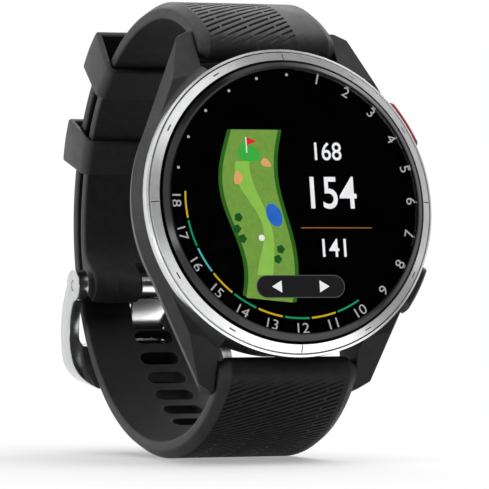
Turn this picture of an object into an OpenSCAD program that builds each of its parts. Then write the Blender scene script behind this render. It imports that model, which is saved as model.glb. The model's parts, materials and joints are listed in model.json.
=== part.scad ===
// Golf watch with a round display, a metal bezel, two side buttons and a buckled silicone strap.
// It is drawn lying on its back: X to 3 o'clock, Y to 12 o'clock, Z out of the dial, with the
// origin at the middle of the rear cover. The whole watch is then stood up on its strap.
// Round sections of the strap are drawn in the loop plane, whose first axis is Y and second is Z.

/* [Stand] */
// Angle by which the dial leans back when the watch stands on its strap
lean = 9.3; // [0:0.1:15]

/* [Display and lens] */
// Diameter of the display module
display_d = 32.4; // [29:0.1:34]
// Thickness of the display module
display_t = 1.6; // [1.2:0.1:2]
// Thickness of the lens
lens_t = 2.4; // [2:0.1:2.8]
// Width of the bevelled edge of the lens
lens_bevel_w = 0.9; // [0.5:0.1:3]
// Height of the bevelled edge of the lens
lens_bevel_h = 0.8; // [0.3:0.1:1]
// Height of the lens above the bezel's rim
lens_rise = 0.9; // [0.5:0.1:1.2]
// Width of the gasket under the lens
lens_gasket_w = 1.3; // [0.8:0.1:1.6]
// Radial width of the antenna ring around the display
antenna_w = 0.6; // [0.4:0.1:1]
// Height of the antenna ring
antenna_h = 1; // [0.6:0.1:1.1]

/* [Case] */
// Height from the rear cover to the bezel's rim
case_h = 11.2; // [10.6:0.1:12.5]
// Height of the bezel above its seat
bezel_h = 2; // [1.7:0.1:2.2]
// Width of the bezel's ring
bezel_w = 1.8; // [1.5:0.1:3]
// Width of the polished chamfer inside the bezel
bezel_chamfer = 0.25; // [0.1:0.05:0.4]
// Fall of the bezel's face from its rim to its groove
bezel_fall = 0.55; // [0.2:0.05:0.7]
// Width of the groove round the bezel
groove_w = 0.2; // [0.1:0.02:0.24]
// Depth of the groove round the bezel
groove_t = 0.2; // [0.1:0.05:0.3]
// Distance by which the case stands out past the bezel
flank_out = 0.8; // [0.5:0.1:1.3]
// Height of the case's sloping shoulder under the bezel
shoulder_h = 2; // [1.4:0.1:2.4]
// Distance by which the case narrows from its widest line to the rear cover
flank_in = 2.5; // [1.5:0.1:2.6]
// Radius of the rounded side of the case, in section
flank_round = 20; // [8:1:40]
// Width of the ledge that carries the antenna ring
ledge_w = 0.6; // [0.4:0.1:1]

/* [Lugs] */
// Gap between two lugs, which is the nominal strap width
lug_gap = 20; // [18:0.5:22]
// Depth of the case's edge inside the bezel's edge, between two lugs
lug_room_in = 1.1; // [0.2:0.1:1.2]
// Width of a lug at its tip
lug_w = 2.4; // [2.2:0.1:3.5]
// Distance of the spring bars outside the bezel's edge
bar_out = 1.6; // [1.2:0.1:2.2]
// Height of the spring bars above the rear cover
bar_z = 3.5; // [3:0.1:4.2]
// Length of a lug past its spring bar
lug_tip = 2.2; // [1.8:0.1:3]
// Height of the lug's front edge at its tip, above the spring bar
lug_tip_rise = 0.9; // [0.9:0.1:1.5]
// Depth of the lug below its spring bar
lug_drop = 2.7; // [2:0.1:2.9]
// Length over which a lug slopes from the case down to its tip
lug_slope_l = 10.2; // [8:0.2:13]
// Slant of the lug's end across its width
lug_slant = 1.3; // [0.5:0.1:2]
// Fall of the lug's widest line from the case to its tip
lug_fall = 2.4; // [1.5:0.1:3]

/* [Rear cover] */
// Thickness of the rear cover
cover_t = 1.5; // [1.2:0.1:1.8]
// Bevel round the rear cover
cover_bevel = 0.9; // [0.4:0.1:1.2]
// Step of the rear cover inside the edge of the case
cover_step = 0.2; // [0.1:0.05:0.4]
// Width of the gasket under the rear cover
rear_gasket_w = 0.6; // [0.5:0.1:0.7]
// Depth of the gasket's groove
rear_gasket_t = 0.4; // [0.3:0.1:0.6]
// Diameter of a cover screw's head
screw_head_d = 1.5; // [1.2:0.1:1.6]
// Thickness of a cover screw's head
screw_head_t = 0.6; // [0.4:0.1:0.8]
// Diameter of a cover screw's shank
screw_d = 0.8; // [0.6:0.1:1]
// Length of a cover screw's shank in the case
screw_l = 3; // [2:0.5:4]
// Angle of the first cover screw from 3 o'clock
screw_angle = 48; // [45:1:55]
// Length of the charging socket
socket_l = 8; // [7:0.5:10]
// Width of the charging socket
socket_w = 3.2; // [2.6:0.1:4]
// Depth of the charging socket's recess
socket_recess = 0.4; // [0.2:0.1:0.6]
// Thickness of the charging socket's block
socket_t = 1.1; // [0.9:0.1:1.2]
// Distance of the charging socket from the middle, towards 6 o'clock
socket_y = 8.5; // [7:0.5:10]
// Number of charging contacts
contact_n = 4; // [2:1:5]
// Diameter of a charging contact
contact_d = 1; // [0.8:0.1:1.2]
// Spacing of the charging contacts
contact_pitch = 1.7; // [1.5:0.1:1.8]

/* [Inside] */
// Thickness of the main board
board_t = 0.8; // [0.6:0.1:1]
// Gap between the main board and the case
board_gap = 0.4; // [0.3:0.1:0.8]
// Width of the battery
battery_w = 18; // [14:0.5:19]
// Length of the battery
battery_l = 23; // [18:0.5:24]
// Thickness of the battery
battery_t = 2.2; // [1.8:0.1:2.4]
// Thickness of the pad under the battery
pad_t = 0.3; // [0.2:0.1:0.4]
// Corner radius of the battery
battery_corner = 2; // [1:0.5:3]
// Thickness of the inner frame's plate
frame_plate_t = 0.5; // [0.4:0.1:0.6]
// Diameter of the inner frame's plate
frame_plate_d = 27; // [24:0.5:27.5]
// Diameter of the inner frame's posts
post_d = 1.8; // [1.4:0.2:2.4]
// Distance of the posts from the middle
post_r = 11.6; // [10:0.2:12]
// Diameter of the vibration motor
motor_d = 2.4; // [2:0.1:2.5]
// Length of the vibration motor
motor_l = 9; // [6:0.5:10]
// Width of the processor, which is square
processor_w = 6; // [4:0.5:7]
// Width of the memory chip
memory_w = 5; // [4:0.5:6]
// Length of the memory chip
memory_l = 4; // [3:0.5:5]
// Width of the positioning receiver, which is square
receiver_w = 4; // [3:0.5:5]
// Width of the power chip
power_w = 3; // [2:0.5:4]
// Gap between the chips
chip_gap = 1.2; // [0.8:0.1:1.6]
// Room between the chips and the inner frame's plate
chip_room = 0.9; // [0.6:0.1:1.2]
// Distance of the display's flexible cable from the middle
flex_y = 13.6; // [12.6:0.1:13.8]
// Width of the display's flexible cable
flex_w = 6; // [4:0.5:9]
// Thickness of the display's flexible cable
flex_t = 0.2; // [0.1:0.05:0.3]

/* [Buttons] */
// Angle of the buttons above and below 3 o'clock
button_angle = 31; // [27:1:36]
// Depth of the buttons' centres below the bezel's seat
button_below = 2.4; // [2.2:0.1:2.5]
// Length of a button round the case
button_l = 7; // [5:0.2:8]
// Width of a button
button_w = 3; // [2.4:0.1:3.2]
// Distance by which a button stands out of the case
button_out = 0.9; // [0.7:0.05:1.4]
// Thickness of the coloured face of the upper button
face_t = 1; // [0.6:0.1:1.2]
// Step round a button's face
face_step = 0.3; // [0.1:0.05:0.5]
// Travel of a button
button_travel = 0.5; // [0.3:0.05:0.6]
// Gap round a button in its pocket
button_gap = 0.12; // [0.08:0.02:0.25]
// Depth of a button's pocket in the case
pocket_t = 2.1; // [1.8:0.1:2.3]
// Diameter of a button's stem
stem_d = 1.5; // [1:0.1:1.6]
// Running clearance of a stem or pin, on the radius
run_gap = 0.05; // [0.02:0.01:0.08]
// Section diameter of a stem's seal
seal_t = 0.45; // [0.3:0.05:0.5]
// Diameter of a stem's retaining clip
clip_d = 2.3; // [2.1:0.1:2.4]
// Thickness of a stem's retaining clip
clip_t = 0.35; // [0.25:0.05:0.4]

/* [Strap] */
// Gap between the strap and a lug
strap_gap = 0.2; // [0.1:0.05:0.4]
// Thickness of the strap
strap_t = 2.3; // [2:0.1:2.6]
// Width of the bevel along the strap's outer edges
bevel_w = 1.3; // [0.6:0.1:2]
// Height of the bevel along the strap's outer edges
bevel_h = 0.9; // [0.4:0.1:1.4]
// Inner radius of the buckled loop
loop_r = 28.1; // [27:0.1:32]
// Radius of the strap's rounded nose at the lugs
nose_r = 2.2; // [2:0.1:2.4]
// Height of the nose's centre above the spring bar
nose_rise = 1.5; // [1.2:0.1:1.6]
// Step of the nose's centre inside the spring bar
nose_in = 0.2; // [0:0.1:0.4]
// Radius of the bend from the upper strap's nose into the loop
upper_bend_r = 22; // [18:1:24]
// Radius of the bend from the lower strap's nose into the loop
lower_bend_r = 24; // [20:1:26]
// Depth of the upper nose inside the loop's outer radius
upper_tuck = 1.6; // [1.2:0.1:2]
// Depth of the lower nose inside the loop's outer radius
lower_tuck = 1.05; // [0.8:0.05:1.4]
// Gap between the two layers of the strap at the back
layer_gap = 0.4; // [0.3:0.05:0.8]
// Angle of the tail's tip above the level of the loop's middle, at the back
tail_angle = 57; // [50:1:62]
// Corner radius of the tail's tip
tail_corner = 5; // [2:0.5:8]
// Width of an adjustment slot
slot_w = 5.8; // [5.7:0.1:6.6]
// Length of an adjustment slot along the strap
slot_l = 2.3; // [1.8:0.1:2.4]
// Length of the slot that the tang stretches
tang_slot_l = 4.6; // [4.5:0.1:4.8]
// Corner radius of the slot that the tang stretches
tang_slot_r = 0.6; // [0.4:0.1:0.8]
// Spacing of the slots along the strap
slot_pitch = 3.9; // [3.8:0.1:4.4]
// Slots between the tang and the lower lugs
slots_below = 6; // [3:1:7]
// Slots between the tang and the tail's tip
slots_above = 3; // [1:1:4]

/* [Spring bars] */
// Diameter of a spring bar's tube
tube_d = 1.5; // [1.4:0.1:1.8]
// Diameter of a spring bar's pins
pin_d = 0.9; // [0.7:0.05:0.9]
// Length of a pin in its lug
pin_in = 0.9; // [0.7:0.1:1.1]
// Travel of a quick-release lever
lever_travel = 1.3; // [1.2:0.1:1.5]
// Diameter of a quick-release lever's knob
knob_d = 1.1; // [0.9:0.1:1.3]
// Distance of the knob from the strap's edge
knob_in = 2.6; // [2.4:0.1:4]
// Height by which the knob stands out of the strap
knob_out = 0.3; // [0.1:0.1:0.5]

/* [Keepers] */
// Width of the upper keeper along the strap
upper_keeper_w = 6.9; // [5:0.1:8]
// Width of the lower keeper along the strap
lower_keeper_w = 6.3; // [5:0.1:8]
// Angle of the upper keeper above the level of the loop's middle, at the back
upper_keeper_angle = 56; // [52:1:60]
// Angle of the lower keeper above the level of the loop's middle, at the back
lower_keeper_angle = 30.5; // [26:0.5:34]
// Thickness of a keeper's walls
keeper_t = 0.9; // [0.7:0.1:1.2]
// Gap between a keeper and the strap
keeper_gap = 0.25; // [0.2:0.05:0.4]
// Chamfer along a keeper's corners towards the wrist
keeper_chamfer = 0.9; // [0.3:0.1:1.1]
// Chamfer along a keeper's corners away from the wrist
keeper_break = 0.3; // [0.1:0.1:0.6]
// Room over the tail in the lower keeper
lower_keeper_room = 0.6; // [0:0.1:1]

/* [Buckle] */
// Diameter of the buckle's pin
buckle_pin_d = 1.5; // [1.2:0.1:1.8]
// Angle of the buckle's pin below the level of the loop's middle, at the back
buckle_angle = 7.3; // [5:0.1:9]
// Radius of the strap's barrel round the pin
barrel_r = 2.4; // [2.2:0.1:2.6]
// Depth of the barrel inside the strap's outer face
barrel_in = 0.5; // [0.3:0.05:0.8]
// Angle by which the buckle's frame stands off the strap
frame_tilt = 16.4; // [15:0.2:17]
// Length of the frame from its pin to its far end
frame_l = 13.9; // [13:0.1:14.5]
// Thickness of the frame's side arms
arm_t = 1.5; // [1.2:0.1:2]
// Gap between the strap and the frame's arms
arm_gap = 0.9; // [0.5:0.1:1.2]
// Depth of the frame's curved band
band_t = 3; // [2.6:0.1:3.2]
// Outer radius of the frame's curved band
band_r = 10.7; // [10.5:0.1:11.5]
// Height of the band's crown above the pin
band_crown = 3.7; // [3.6:0.1:4]
// Width of the frame's far bar
far_bar_w = 2.5; // [2:0.1:2.8]
// Corner radius of the frame's far end
frame_corner = 3.5; // [2:0.1:4.5]
// Gap between the far bar and the strap
far_bar_gap = 0.3; // [0.2:0.05:0.5]
// Radius of the frame's eye round the pin
eye_r = 2.2; // [1.8:0.1:2.3]
// Width of the tang
tang_w = 5; // [4.5:0.1:5.1]
// Thickness of the tang
tang_t = 0.8; // [0.7:0.05:0.9]
// Bend radius of the tang
tang_r = 15; // [14.5:0.1:15.5]
// Place of the tang's crown along the frame
tang_crown_u = 7.7; // [7.5:0.1:7.9]
// Height of the tang's crown above the pin
tang_crown = 2.43; // [2.4:0.01:2.5]
// Radius of the tang's eye
tang_eye_r = 1.9; // [1.6:0.1:2]
// Gap on each side of the tang in its notch and slot
tang_gap = 0.35; // [0.2:0.05:0.5]

/* [Hidden] */
$fn = 72;
// Small overlap of a cutting shape past the face that it opens
over = 0.5;
// Assembly gap between fixed pieces
fit = 0.1;
// Hair by which one part of a body starts inside another
hair = 0.04;

// Case, from the display outwards
display_r = display_d / 2;
well_r = display_r + antenna_w + 2 * fit;
lens_r = well_r + lens_gasket_w + 2 * fit;
glass_r = lens_r + fit;
bezel_r = glass_r + bezel_w;
flank_r = bezel_r + flank_out;
case_rear_r = flank_r - flank_in;
cavity_r = display_r - ledge_w;
cover_r = case_rear_r - cover_step;

// Case, from the rear cover to the rim
seat_z = case_h - bezel_h;
widest_z = seat_z - shoulder_h;
lens_top = case_h + lens_rise;
lens_z = lens_top - lens_t;
display_z = lens_z - display_t;
frame_z = display_z - frame_plate_t;
ledge_z = display_z - fit;
pad_top = cover_t + pad_t;
button_z = seat_z - button_below;
board_top = button_z - clip_d / 2 - fit;
board_z = board_top - board_t;

// Lugs
bar_y = bezel_r + bar_out;
lug_tip_y = bar_y + lug_tip;
lug_end_x = lug_gap / 2 + lug_w;

// Loop of the strap, in the loop plane
strap_w = lug_gap - 2 * strap_gap;
nose = [bar_y - nose_in, bar_z + nose_rise];
upper_out_r = loop_r + strap_t;
upper_reach = upper_out_r - nose_r - upper_tuck;
upper_c = [0, nose[1] - sqrt(upper_reach * upper_reach - nose[0] * nose[0])];
lower_in_r = loop_r + strap_t / 2;
lower_out_r = lower_in_r + strap_t;
lower_reach = lower_out_r - nose_r - lower_tuck;
lower_z = upper_c[1] - upper_out_r - layer_gap + lower_in_r;
lower_rise = nose[1] - lower_z;
lower_c = [sqrt(lower_reach * lower_reach - lower_rise * lower_rise) - nose[0], lower_z];
flipped_c = [-lower_c[0], lower_c[1]];

// Buckle, in the loop plane: u runs along the frame from its pin, v away from the wrist
barrel_c_r = upper_out_r - barrel_r - barrel_in;
buckle_turn = -90 - buckle_angle;
pin_c = upper_c + barrel_c_r * heading(buckle_turn);
frame_turn = 180 + frame_tilt;
band_u = frame_l - sqrt(band_r * band_r - (band_r - band_crown) * (band_r - band_crown));
band_c = [band_u, band_crown - band_r];
tang_c = [tang_crown_u, tang_crown - tang_r];
frame_half = strap_w / 2 + arm_gap + arm_t;
notch_half = tang_w / 2 + tang_gap;
tang_far = pin_c + tang_c[0] * heading(frame_turn) + tang_c[1] * heading(frame_turn + 90);
slot_mid_r = lower_in_r + strap_t / 2;
slot_r = slot_l / 2 - fit / 10;
tang_slot_turn = crossing_turn(lower_c, slot_mid_r, tang_far, tang_r);
slot_step = slot_pitch / slot_mid_r * 180 / PI;

// Buttons, along their own axes from the middle of the case
button_top = flank_at(button_z) + button_out;
pocket_r = flank_at(button_z) - pocket_t;
button_base = pocket_r + button_travel + fit;
stem_end = cavity_r - clip_t - 1;
clip_r = cavity_r - clip_t - 2 * fit;
seal_r = (cavity_r + pocket_r) / 2;
switch_face = stem_end - button_travel - fit / 2;

// Unit vector at an angle
function heading(a) = [cos(a), sin(a)];

// Angle of a vector
function turn_of(v) = atan2(v[1], v[0]);

// Centre of the circle of radius r through two points, on the left of the way from the first
function arc_centre(a, b, r) =
    let (d = b - a, half = norm(d) / 2, rise = sqrt(r * r - half * half))
    (a + b) / 2 + rise * [-d[1], d[0]] / (2 * half);

// Angle, seen from the loop's centre, at which a bend leaves the loop towards a nose
function bend_start(c, out_r, bend_r) =
    let (d = norm(nose - c), a = out_r - bend_r, b = bend_r - nose_r)
    turn_of(nose - c) - acos((d * d + a * a - b * b) / (2 * d * a));

// Angle, seen from the first centre, of the crossing of two circles that has the larger angle
function crossing_turn(c1, r1, c2, r2) =
    let (d = norm(c2 - c1))
    turn_of(c2 - c1) + acos((d * d + r1 * r1 - r2 * r2) / (2 * d * r1));

// Radius of the case's side at a height
function flank_at(z) =
    let (c = flank_centre(), rise = z - c[1])
    c[0] + sqrt(flank_round * flank_round - rise * rise);

// Centre of the arc of the case's side, in section
function flank_centre() = arc_centre([case_rear_r, cover_t], [flank_r, widest_z], flank_round);

// Stands the watch up on its strap
module stand() {
    rotate([90 - lean, 0, 0]) children();
}

// Turns a drawing in the loop plane, extruded along its third axis, into the watch
module loop_plane() {
    rotate([90, 0, 90]) children();
}

// Puts a drawing at the buckle's pin, with u as its first axis and v as its second
module buckle_plane() {
    loop_plane() translate([pin_c[0], pin_c[1], 0]) rotate([0, 0, frame_turn]) children();
}

// Points the third axis outwards along a button's axis; the second runs round the case
module along_button(side) {
    translate([0, 0, button_z]) rotate([0, 0, side * button_angle]) rotate([0, 90, 0]) children();
}

// Tube between two radii and two heights
module ring(r_out, r_in, z0, z1) {
    translate([0, 0, z0]) difference() {
        cylinder(r = r_out, h = z1 - z0);
        translate([0, 0, -over]) cylinder(r = r_in, h = z1 - z0 + 2 * over);
    }
}

// Oblong with round ends, long along the second axis
module oblong(len, wide) {
    square([wide, len - wide], center = true);
    for (s = [-1, 1]) translate([0, s * (len - wide) / 2]) circle(d = wide);
}

// Rectangle with round corners
module round_rect(wide, len, r) {
    square([wide - 2 * r, len], center = true);
    square([wide, len - 2 * r], center = true);
    for (sx = [-1, 1], sy = [-1, 1])
        translate([sx * (wide / 2 - r), sy * (len / 2 - r)]) circle(r = r);
}

// Section of the case's side down to a height: a rounded side, in steps, under a sloping shoulder
module flank_section(low_z) {
    steps = 4;
    side = [for (i = [0 : steps]) low_z + (widest_z - low_z) * i / steps];
    polygon(concat([[0, low_z]], [for (z = side) [flank_at(z), z]], [[bezel_r, seat_z], [0, seat_z]]));
}

// Outline of a lug, seen along X
module lug_profile() {
    low = bar_z - lug_drop;
    root = lug_gap / 2;
    polygon([
        [root, cover_t], [root, seat_z], [lug_tip_y - lug_slope_l, seat_z],
        [lug_tip_y - lug_tip / 6, bar_z + lug_tip_rise], [lug_tip_y, bar_z - lug_drop / 6],
        [lug_tip_y - lug_tip / 4, bar_z - lug_drop * 0.75], [bar_y, low], [cavity_r, low], [cavity_r, cover_t]
    ]);
}

// The lug between 12 and 3 o'clock: its outer face runs on from the side of the case, tangent to it
module lug() {
    inner_x = lug_gap / 2;
    end = [lug_end_x, lug_tip_y - lug_slant];
    turn = turn_of(end) - acos(flank_r / norm(end));
    fall_angle = atan(lug_fall / sqrt(norm(end) * norm(end) - flank_r * flank_r));
    intersection() {
        rotate([0, 0, turn]) translate([-hair, 0, widest_z]) rotate([-fall_angle, 0, 0])
            translate([0, 2 * lug_tip_y, -widest_z]) rotate([90, 0, 0])
                linear_extrude(2 * lug_tip_y) flank_section(bar_z - lug_drop);
        loop_plane() translate([0, 0, inner_x]) linear_extrude(flank_r) lug_profile();
        linear_extrude(case_h) polygon([
            [inner_x, 0], [inner_x, lug_tip_y],
            [inner_x + 4 * lug_w, lug_tip_y - 4 * lug_slant], [2 * flank_r, 0]
        ]);
    }
}

// Room between two lugs, outside the bezel's edge
module lug_room() {
    difference() {
        translate([-lug_gap / 2, 0, -over]) cube([lug_gap, lug_tip_y + over, case_h]);
        translate([0, 0, -2 * over]) cylinder(r = bezel_r - lug_room_in, h = case_h + 4 * over);
    }
}

// Room between the lugs for the nose of a strap
module nose_room() {
    room = fit + 3 * strap_gap / 2;
    low = nose[0] - nose_r - room;
    translate([-lug_gap / 2, low, -over]) cube([lug_gap, lug_tip_y, nose[1] + nose_r + room + over]);
}

// Places its children at each cover screw
module at_screws() {
    screw_r = cavity_r + rear_gasket_w + screw_head_d / 2 + 3 * fit;
    for (a = [screw_angle, 180 - screw_angle, 180 + screw_angle, -screw_angle])
        rotate([0, 0, a]) translate([screw_r, 0, 0]) children();
}

// Holes of the lugs for the pins of the spring bars
module lug_holes() {
    for (s = [-1, 1]) translate([0, s * bar_y, bar_z]) rotate([0, 90, 0])
        cylinder(r = pin_d / 2 + run_gap, h = lug_gap + 2 * (pin_in + fit), center = true);
}

// Pocket, seal bore and stem bore of a button
module button_pocket(side) {
    along_button(side) {
        translate([0, 0, pocket_r]) linear_extrude(flank_r)
            oblong(button_l + 2 * button_gap, button_w + 2 * button_gap);
        translate([0, 0, seal_r - button_travel - seal_t])
            cylinder(r = stem_d / 2 + seal_t + fit, h = flank_r);
        cylinder(r = stem_d / 2 + run_gap, h = flank_r);
    }
}

module case_body() {
    color("#38393b") stand() difference() {
        union() {
            rotate_extrude() flank_section(cover_t);
            for (sx = [0, 1], sy = [0, 1]) mirror([sx, 0, 0]) mirror([0, sy, 0]) lug();
        }
        translate([0, 0, -over]) cylinder(r = cavity_r, h = case_h);
        translate([0, 0, ledge_z]) cylinder(r = well_r, h = case_h);
        ring(cavity_r + fit + rear_gasket_w, cavity_r + fit, cover_t - over, cover_t + rear_gasket_t);
        at_screws() cylinder(d = screw_d, h = cover_t + screw_l);
        for (s = [0, 1]) mirror([0, s, 0]) {
            nose_room();
            lug_room();
        }
        lug_holes();
        for (s = [-1, 1]) button_pocket(s);
    }
}

// Ring with a polished inner chamfer, a sloping face, a groove and an upright wall
module bezel() {
    groove_r = bezel_r - bezel_w / 6;
    face_z = case_h - bezel_fall;
    color("#c4c6c9") stand() difference() {
        rotate_extrude($fn = 144) polygon([
            [glass_r, seat_z], [glass_r, case_h - bezel_chamfer], [glass_r + bezel_chamfer, case_h],
            [groove_r - groove_w, face_z], [groove_r - groove_w, face_z - groove_t],
            [groove_r, face_z - groove_t], [groove_r, face_z - groove_w / 2],
            [bezel_r, face_z - bezel_w / 6], [bezel_r, seat_z]
        ]);
        bezel_marks();
    }
}

// Engraved hour marks: full lines at the quarters and short dashes at the other hours
module bezel_marks() {
    mark_w = 0.16;
    mark_t = 0.12;
    face_l = bezel_w * 5 / 6 - bezel_chamfer - groove_w;
    tilt = atan(bezel_fall / face_l);
    for (hour = [0 : 11]) {
        quarter = hour % 3 == 0;
        len = quarter ? face_l : mark_w;
        wide = quarter ? mark_w : 6 * mark_w;
        rotate([0, 0, 30 * hour])
            translate([glass_r + bezel_chamfer + face_l / 2, 0, case_h - bezel_fall / 2])
                rotate([0, tilt, 0]) cube([len, wide, 2 * mark_t], center = true);
    }
}

module lens() {
    color("#15171a", 0.5) stand() rotate_extrude($fn = 144) polygon([
        [0, lens_z], [lens_r, lens_z], [lens_r, lens_top - lens_bevel_h],
        [lens_r - lens_bevel_w, lens_top], [0, lens_top]
    ]);
}

module lens_gasket() {
    color("#202020") stand() ring(lens_r - fit, lens_r - fit - lens_gasket_w, seat_z, lens_z);
}

module display_module() {
    color("#0a0b0d") stand() translate([0, 0, display_z]) cylinder(r = display_r, h = display_t);
}

// Flexible cable from the back of the display to the board
module display_flex() {
    color("#8a5a20") stand()
        translate([-flex_w / 2, flex_y, board_top])
            cube([flex_w, flex_t, display_z - board_top]);
}

module antenna_ring() {
    color("#b08d3c") stand()
        ring(well_r - fit, well_r - fit - antenna_w, ledge_z, ledge_z + min(antenna_h, seat_z - ledge_z));
}

// Plate behind the display, with posts that hold the main board, and room for the cable and the clips
module inner_frame() {
    color("#4a4b4d") stand() {
        difference() {
            translate([0, 0, frame_z]) cylinder(d = frame_plate_d, h = frame_plate_t);
            translate([-flex_w / 2 - fit, flex_y - fit, frame_z - over])
                cube([flex_w + 2 * fit, cavity_r, frame_plate_t + 2 * over]);
            for (s = [-1, 1]) along_button(s) translate([0, 0, clip_r - clip_t - button_travel - fit])
                cylinder(r = clip_d / 2 + fit, h = cavity_r);
        }
        for (a = [screw_angle, 180 - screw_angle, 180 + screw_angle, -screw_angle])
            rotate([0, 0, a]) translate([post_r, 0, board_top])
                cylinder(d = post_d, h = frame_z - board_top + fit);
    }
}

module main_board() {
    color("#14532d") stand() translate([0, 0, board_z]) cylinder(r = cavity_r - board_gap, h = board_t);
}

// Processor, memory, positioning receiver and power chip
module board_chips() {
    side = processor_w / 2 + chip_gap;
    chips = [
        [[0, (processor_w + chip_gap) / 2], [processor_w, processor_w]],
        [[0, -(memory_l + chip_gap) / 2], [memory_w, memory_l]],
        [[-side - receiver_w / 2, 0], [receiver_w, receiver_w]],
        [[side + power_w / 2, 0], [power_w, memory_w]]
    ];
    color("#1c1c1e") stand() for (c = chips)
        translate([c[0][0], c[0][1], board_top]) linear_extrude(frame_z - board_top - chip_room)
            square(c[1], center = true);
}

module battery() {
    color("#9ea2a6") stand() translate([0, 0, pad_top])
        linear_extrude(battery_t) round_rect(battery_w, battery_l, battery_corner);
}

module battery_pad() {
    color("#2b2b2b") stand() translate([0, 0, cover_t])
        linear_extrude(pad_t) round_rect(battery_w - 2 * pad_t, battery_l - 2 * pad_t, battery_corner);
}

// Cylindrical motor beside the battery, bedded on the rear cover
module vibration_motor() {
    motor_x = battery_w / 2 + motor_d / 2 + 5 * fit;
    color("#b7b9bc") stand() intersection() {
        translate([motor_x, 0, cover_t + motor_d / 2 - fit]) rotate([90, 0, 0])
            cylinder(d = motor_d, h = motor_l, center = true);
        translate([0, -motor_l, cover_t]) cube([cavity_r, 2 * motor_l, motor_d]);
    }
}

// Two tactile switches on the board, one in line with each button
module button_switches() {
    switch_w = 3;
    switch_l = 1.6;
    plunger_l = 0.3;
    color("#d8d8d2") stand() for (s = [-1, 1]) along_button(s) {
        block_top = min(button_w / 2, frame_z - button_z - fit);
        translate([-block_top, -switch_w / 2, switch_face - plunger_l - switch_l])
            cube([block_top + button_z - board_top, switch_w, switch_l]);
        translate([0, 0, switch_face - plunger_l - fit]) cylinder(d = stem_d / 2, h = plunger_l + fit);
    }
}

// Bevelled cover with a recess for the charging socket and sunk screw holes
module rear_cover() {
    color("#2c2d2f") stand() difference() {
        rotate_extrude() polygon([
            [0, 0], [cover_r - cover_bevel, 0], [cover_r, cover_bevel], [cover_r, cover_t], [0, cover_t]
        ]);
        translate([0, -socket_y, -over]) linear_extrude(socket_recess + socket_t + over)
            rotate([0, 0, 90]) oblong(socket_l, socket_w);
        at_screws() {
            translate([0, 0, -over]) cylinder(d = screw_head_d + 2 * fit, h = screw_head_t + over);
            cylinder(d = screw_d, h = cover_t + over);
        }
    }
}

module rear_gasket() {
    in_r = cavity_r + fit;
    color("#1a1a1a") stand() ring(in_r + rear_gasket_w, in_r, cover_t, cover_t + rear_gasket_t);
}

// Four screws with a six-sided socket
module rear_screws() {
    color("#8d9094") stand() at_screws() difference() {
        union() {
            translate([0, 0, fit]) cylinder(d = screw_head_d, h = screw_head_t - fit);
            cylinder(d = screw_d, h = cover_t + screw_l);
        }
        translate([0, 0, -over]) cylinder(d = screw_head_d / 2, h = screw_head_t * 0.6 + over, $fn = 6);
    }
}

// Places its children at each charging contact
module at_contacts() {
    for (i = [0 : contact_n - 1])
        translate([(i - (contact_n - 1) / 2) * contact_pitch, -socket_y, socket_recess - fit]) children();
}

module charge_socket() {
    color("#101112") stand() difference() {
        translate([0, -socket_y, socket_recess]) linear_extrude(socket_t)
            rotate([0, 0, 90]) oblong(socket_l, socket_w);
        at_contacts() translate([0, 0, -over]) cylinder(d = contact_d, h = socket_t + 2 * over);
    }
}

module charge_contacts() {
    color("#c9a24a") stand() at_contacts() cylinder(d = contact_d, h = socket_t + fit);
}

// Section of the strap at an outer radius, with bevelled outer edges
module strap_section(out_r, thick, half) {
    polygon([
        [out_r - thick, -half], [out_r - bevel_h, -half], [out_r, bevel_w - half],
        [out_r, half - bevel_w], [out_r - bevel_h, half], [out_r - thick, half]
    ]);
}

// Stretch of strap round a centre in the loop plane, between two angles
module strap_run(c, out_r, a0, a1, thick, half) {
    loop_plane() translate([c[0], c[1], 0]) rotate([0, 0, a0])
        rotate_extrude(angle = a1 - a0, $fn = 180) strap_section(out_r, thick, half);
}

// Bend from the loop into the nose, and the thick end that holds the spring bar;
// the bend is a hair thinner than the loop, so that it starts inside it
module strap_nose(c, out_r, bend_r) {
    a0 = bend_start(c, out_r, bend_r);
    bend_c = c + (out_r - bend_r) * heading(a0);
    overlap = 2;
    a1 = turn_of(nose - bend_c);
    strap_run(bend_c, bend_r - hair, a0 - overlap, a1, strap_t - 2 * hair, strap_w / 2 - hair);
    loop_plane() {
        for (p = [nose, [bar_y, bar_z]])
            translate([p[0], p[1], 0]) rotate_extrude() strap_section(nose_r, nose_r, strap_w / 2);
        translate([nose[0] - nose_r + hair, bar_z, bevel_w - strap_w / 2])
            cube([2 * (nose_r - hair), nose_rise, strap_w - 2 * bevel_w]);
    }
}

// Bore of a strap's nose for the spring bar, and the opening for the release lever
module bar_bore() {
    translate([0, bar_y, bar_z]) {
        rotate([0, 90, 0]) cylinder(d = tube_d + fit, h = strap_w + 2 * over, center = true);
        lever_room(nose_r + 2 * over);
    }
}

// Room for the lever's knob over its travel, from the bar's axis towards the wrist
module lever_room(depth) {
    room = knob_d / 2 + 2 * fit;
    knob_x = strap_w / 2 - knob_in;
    translate([knob_x - lever_travel - room, -room, -depth])
        cube([lever_travel + 2 * room, 2 * room, depth]);
}

// Barrel round the buckle's pin, with a flare up to the strap's inner face
module buckle_barrel() {
    flare_turn = 11;
    flare_from = upper_c + (loop_r + strap_t / 4) * heading(buckle_turn + flare_turn);
    rim = pin_c + (barrel_r - fit) * heading(buckle_turn + 150);
    loop_plane() {
        translate([pin_c[0], pin_c[1], 0]) cylinder(r = barrel_r, h = strap_w - 2 * hair, center = true);
        linear_extrude(strap_w - 4 * hair, center = true)
            polygon([pin_c, rim, flare_from, upper_c + (loop_r + strap_t / 2) * heading(buckle_turn + 3)]);
    }
}

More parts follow.
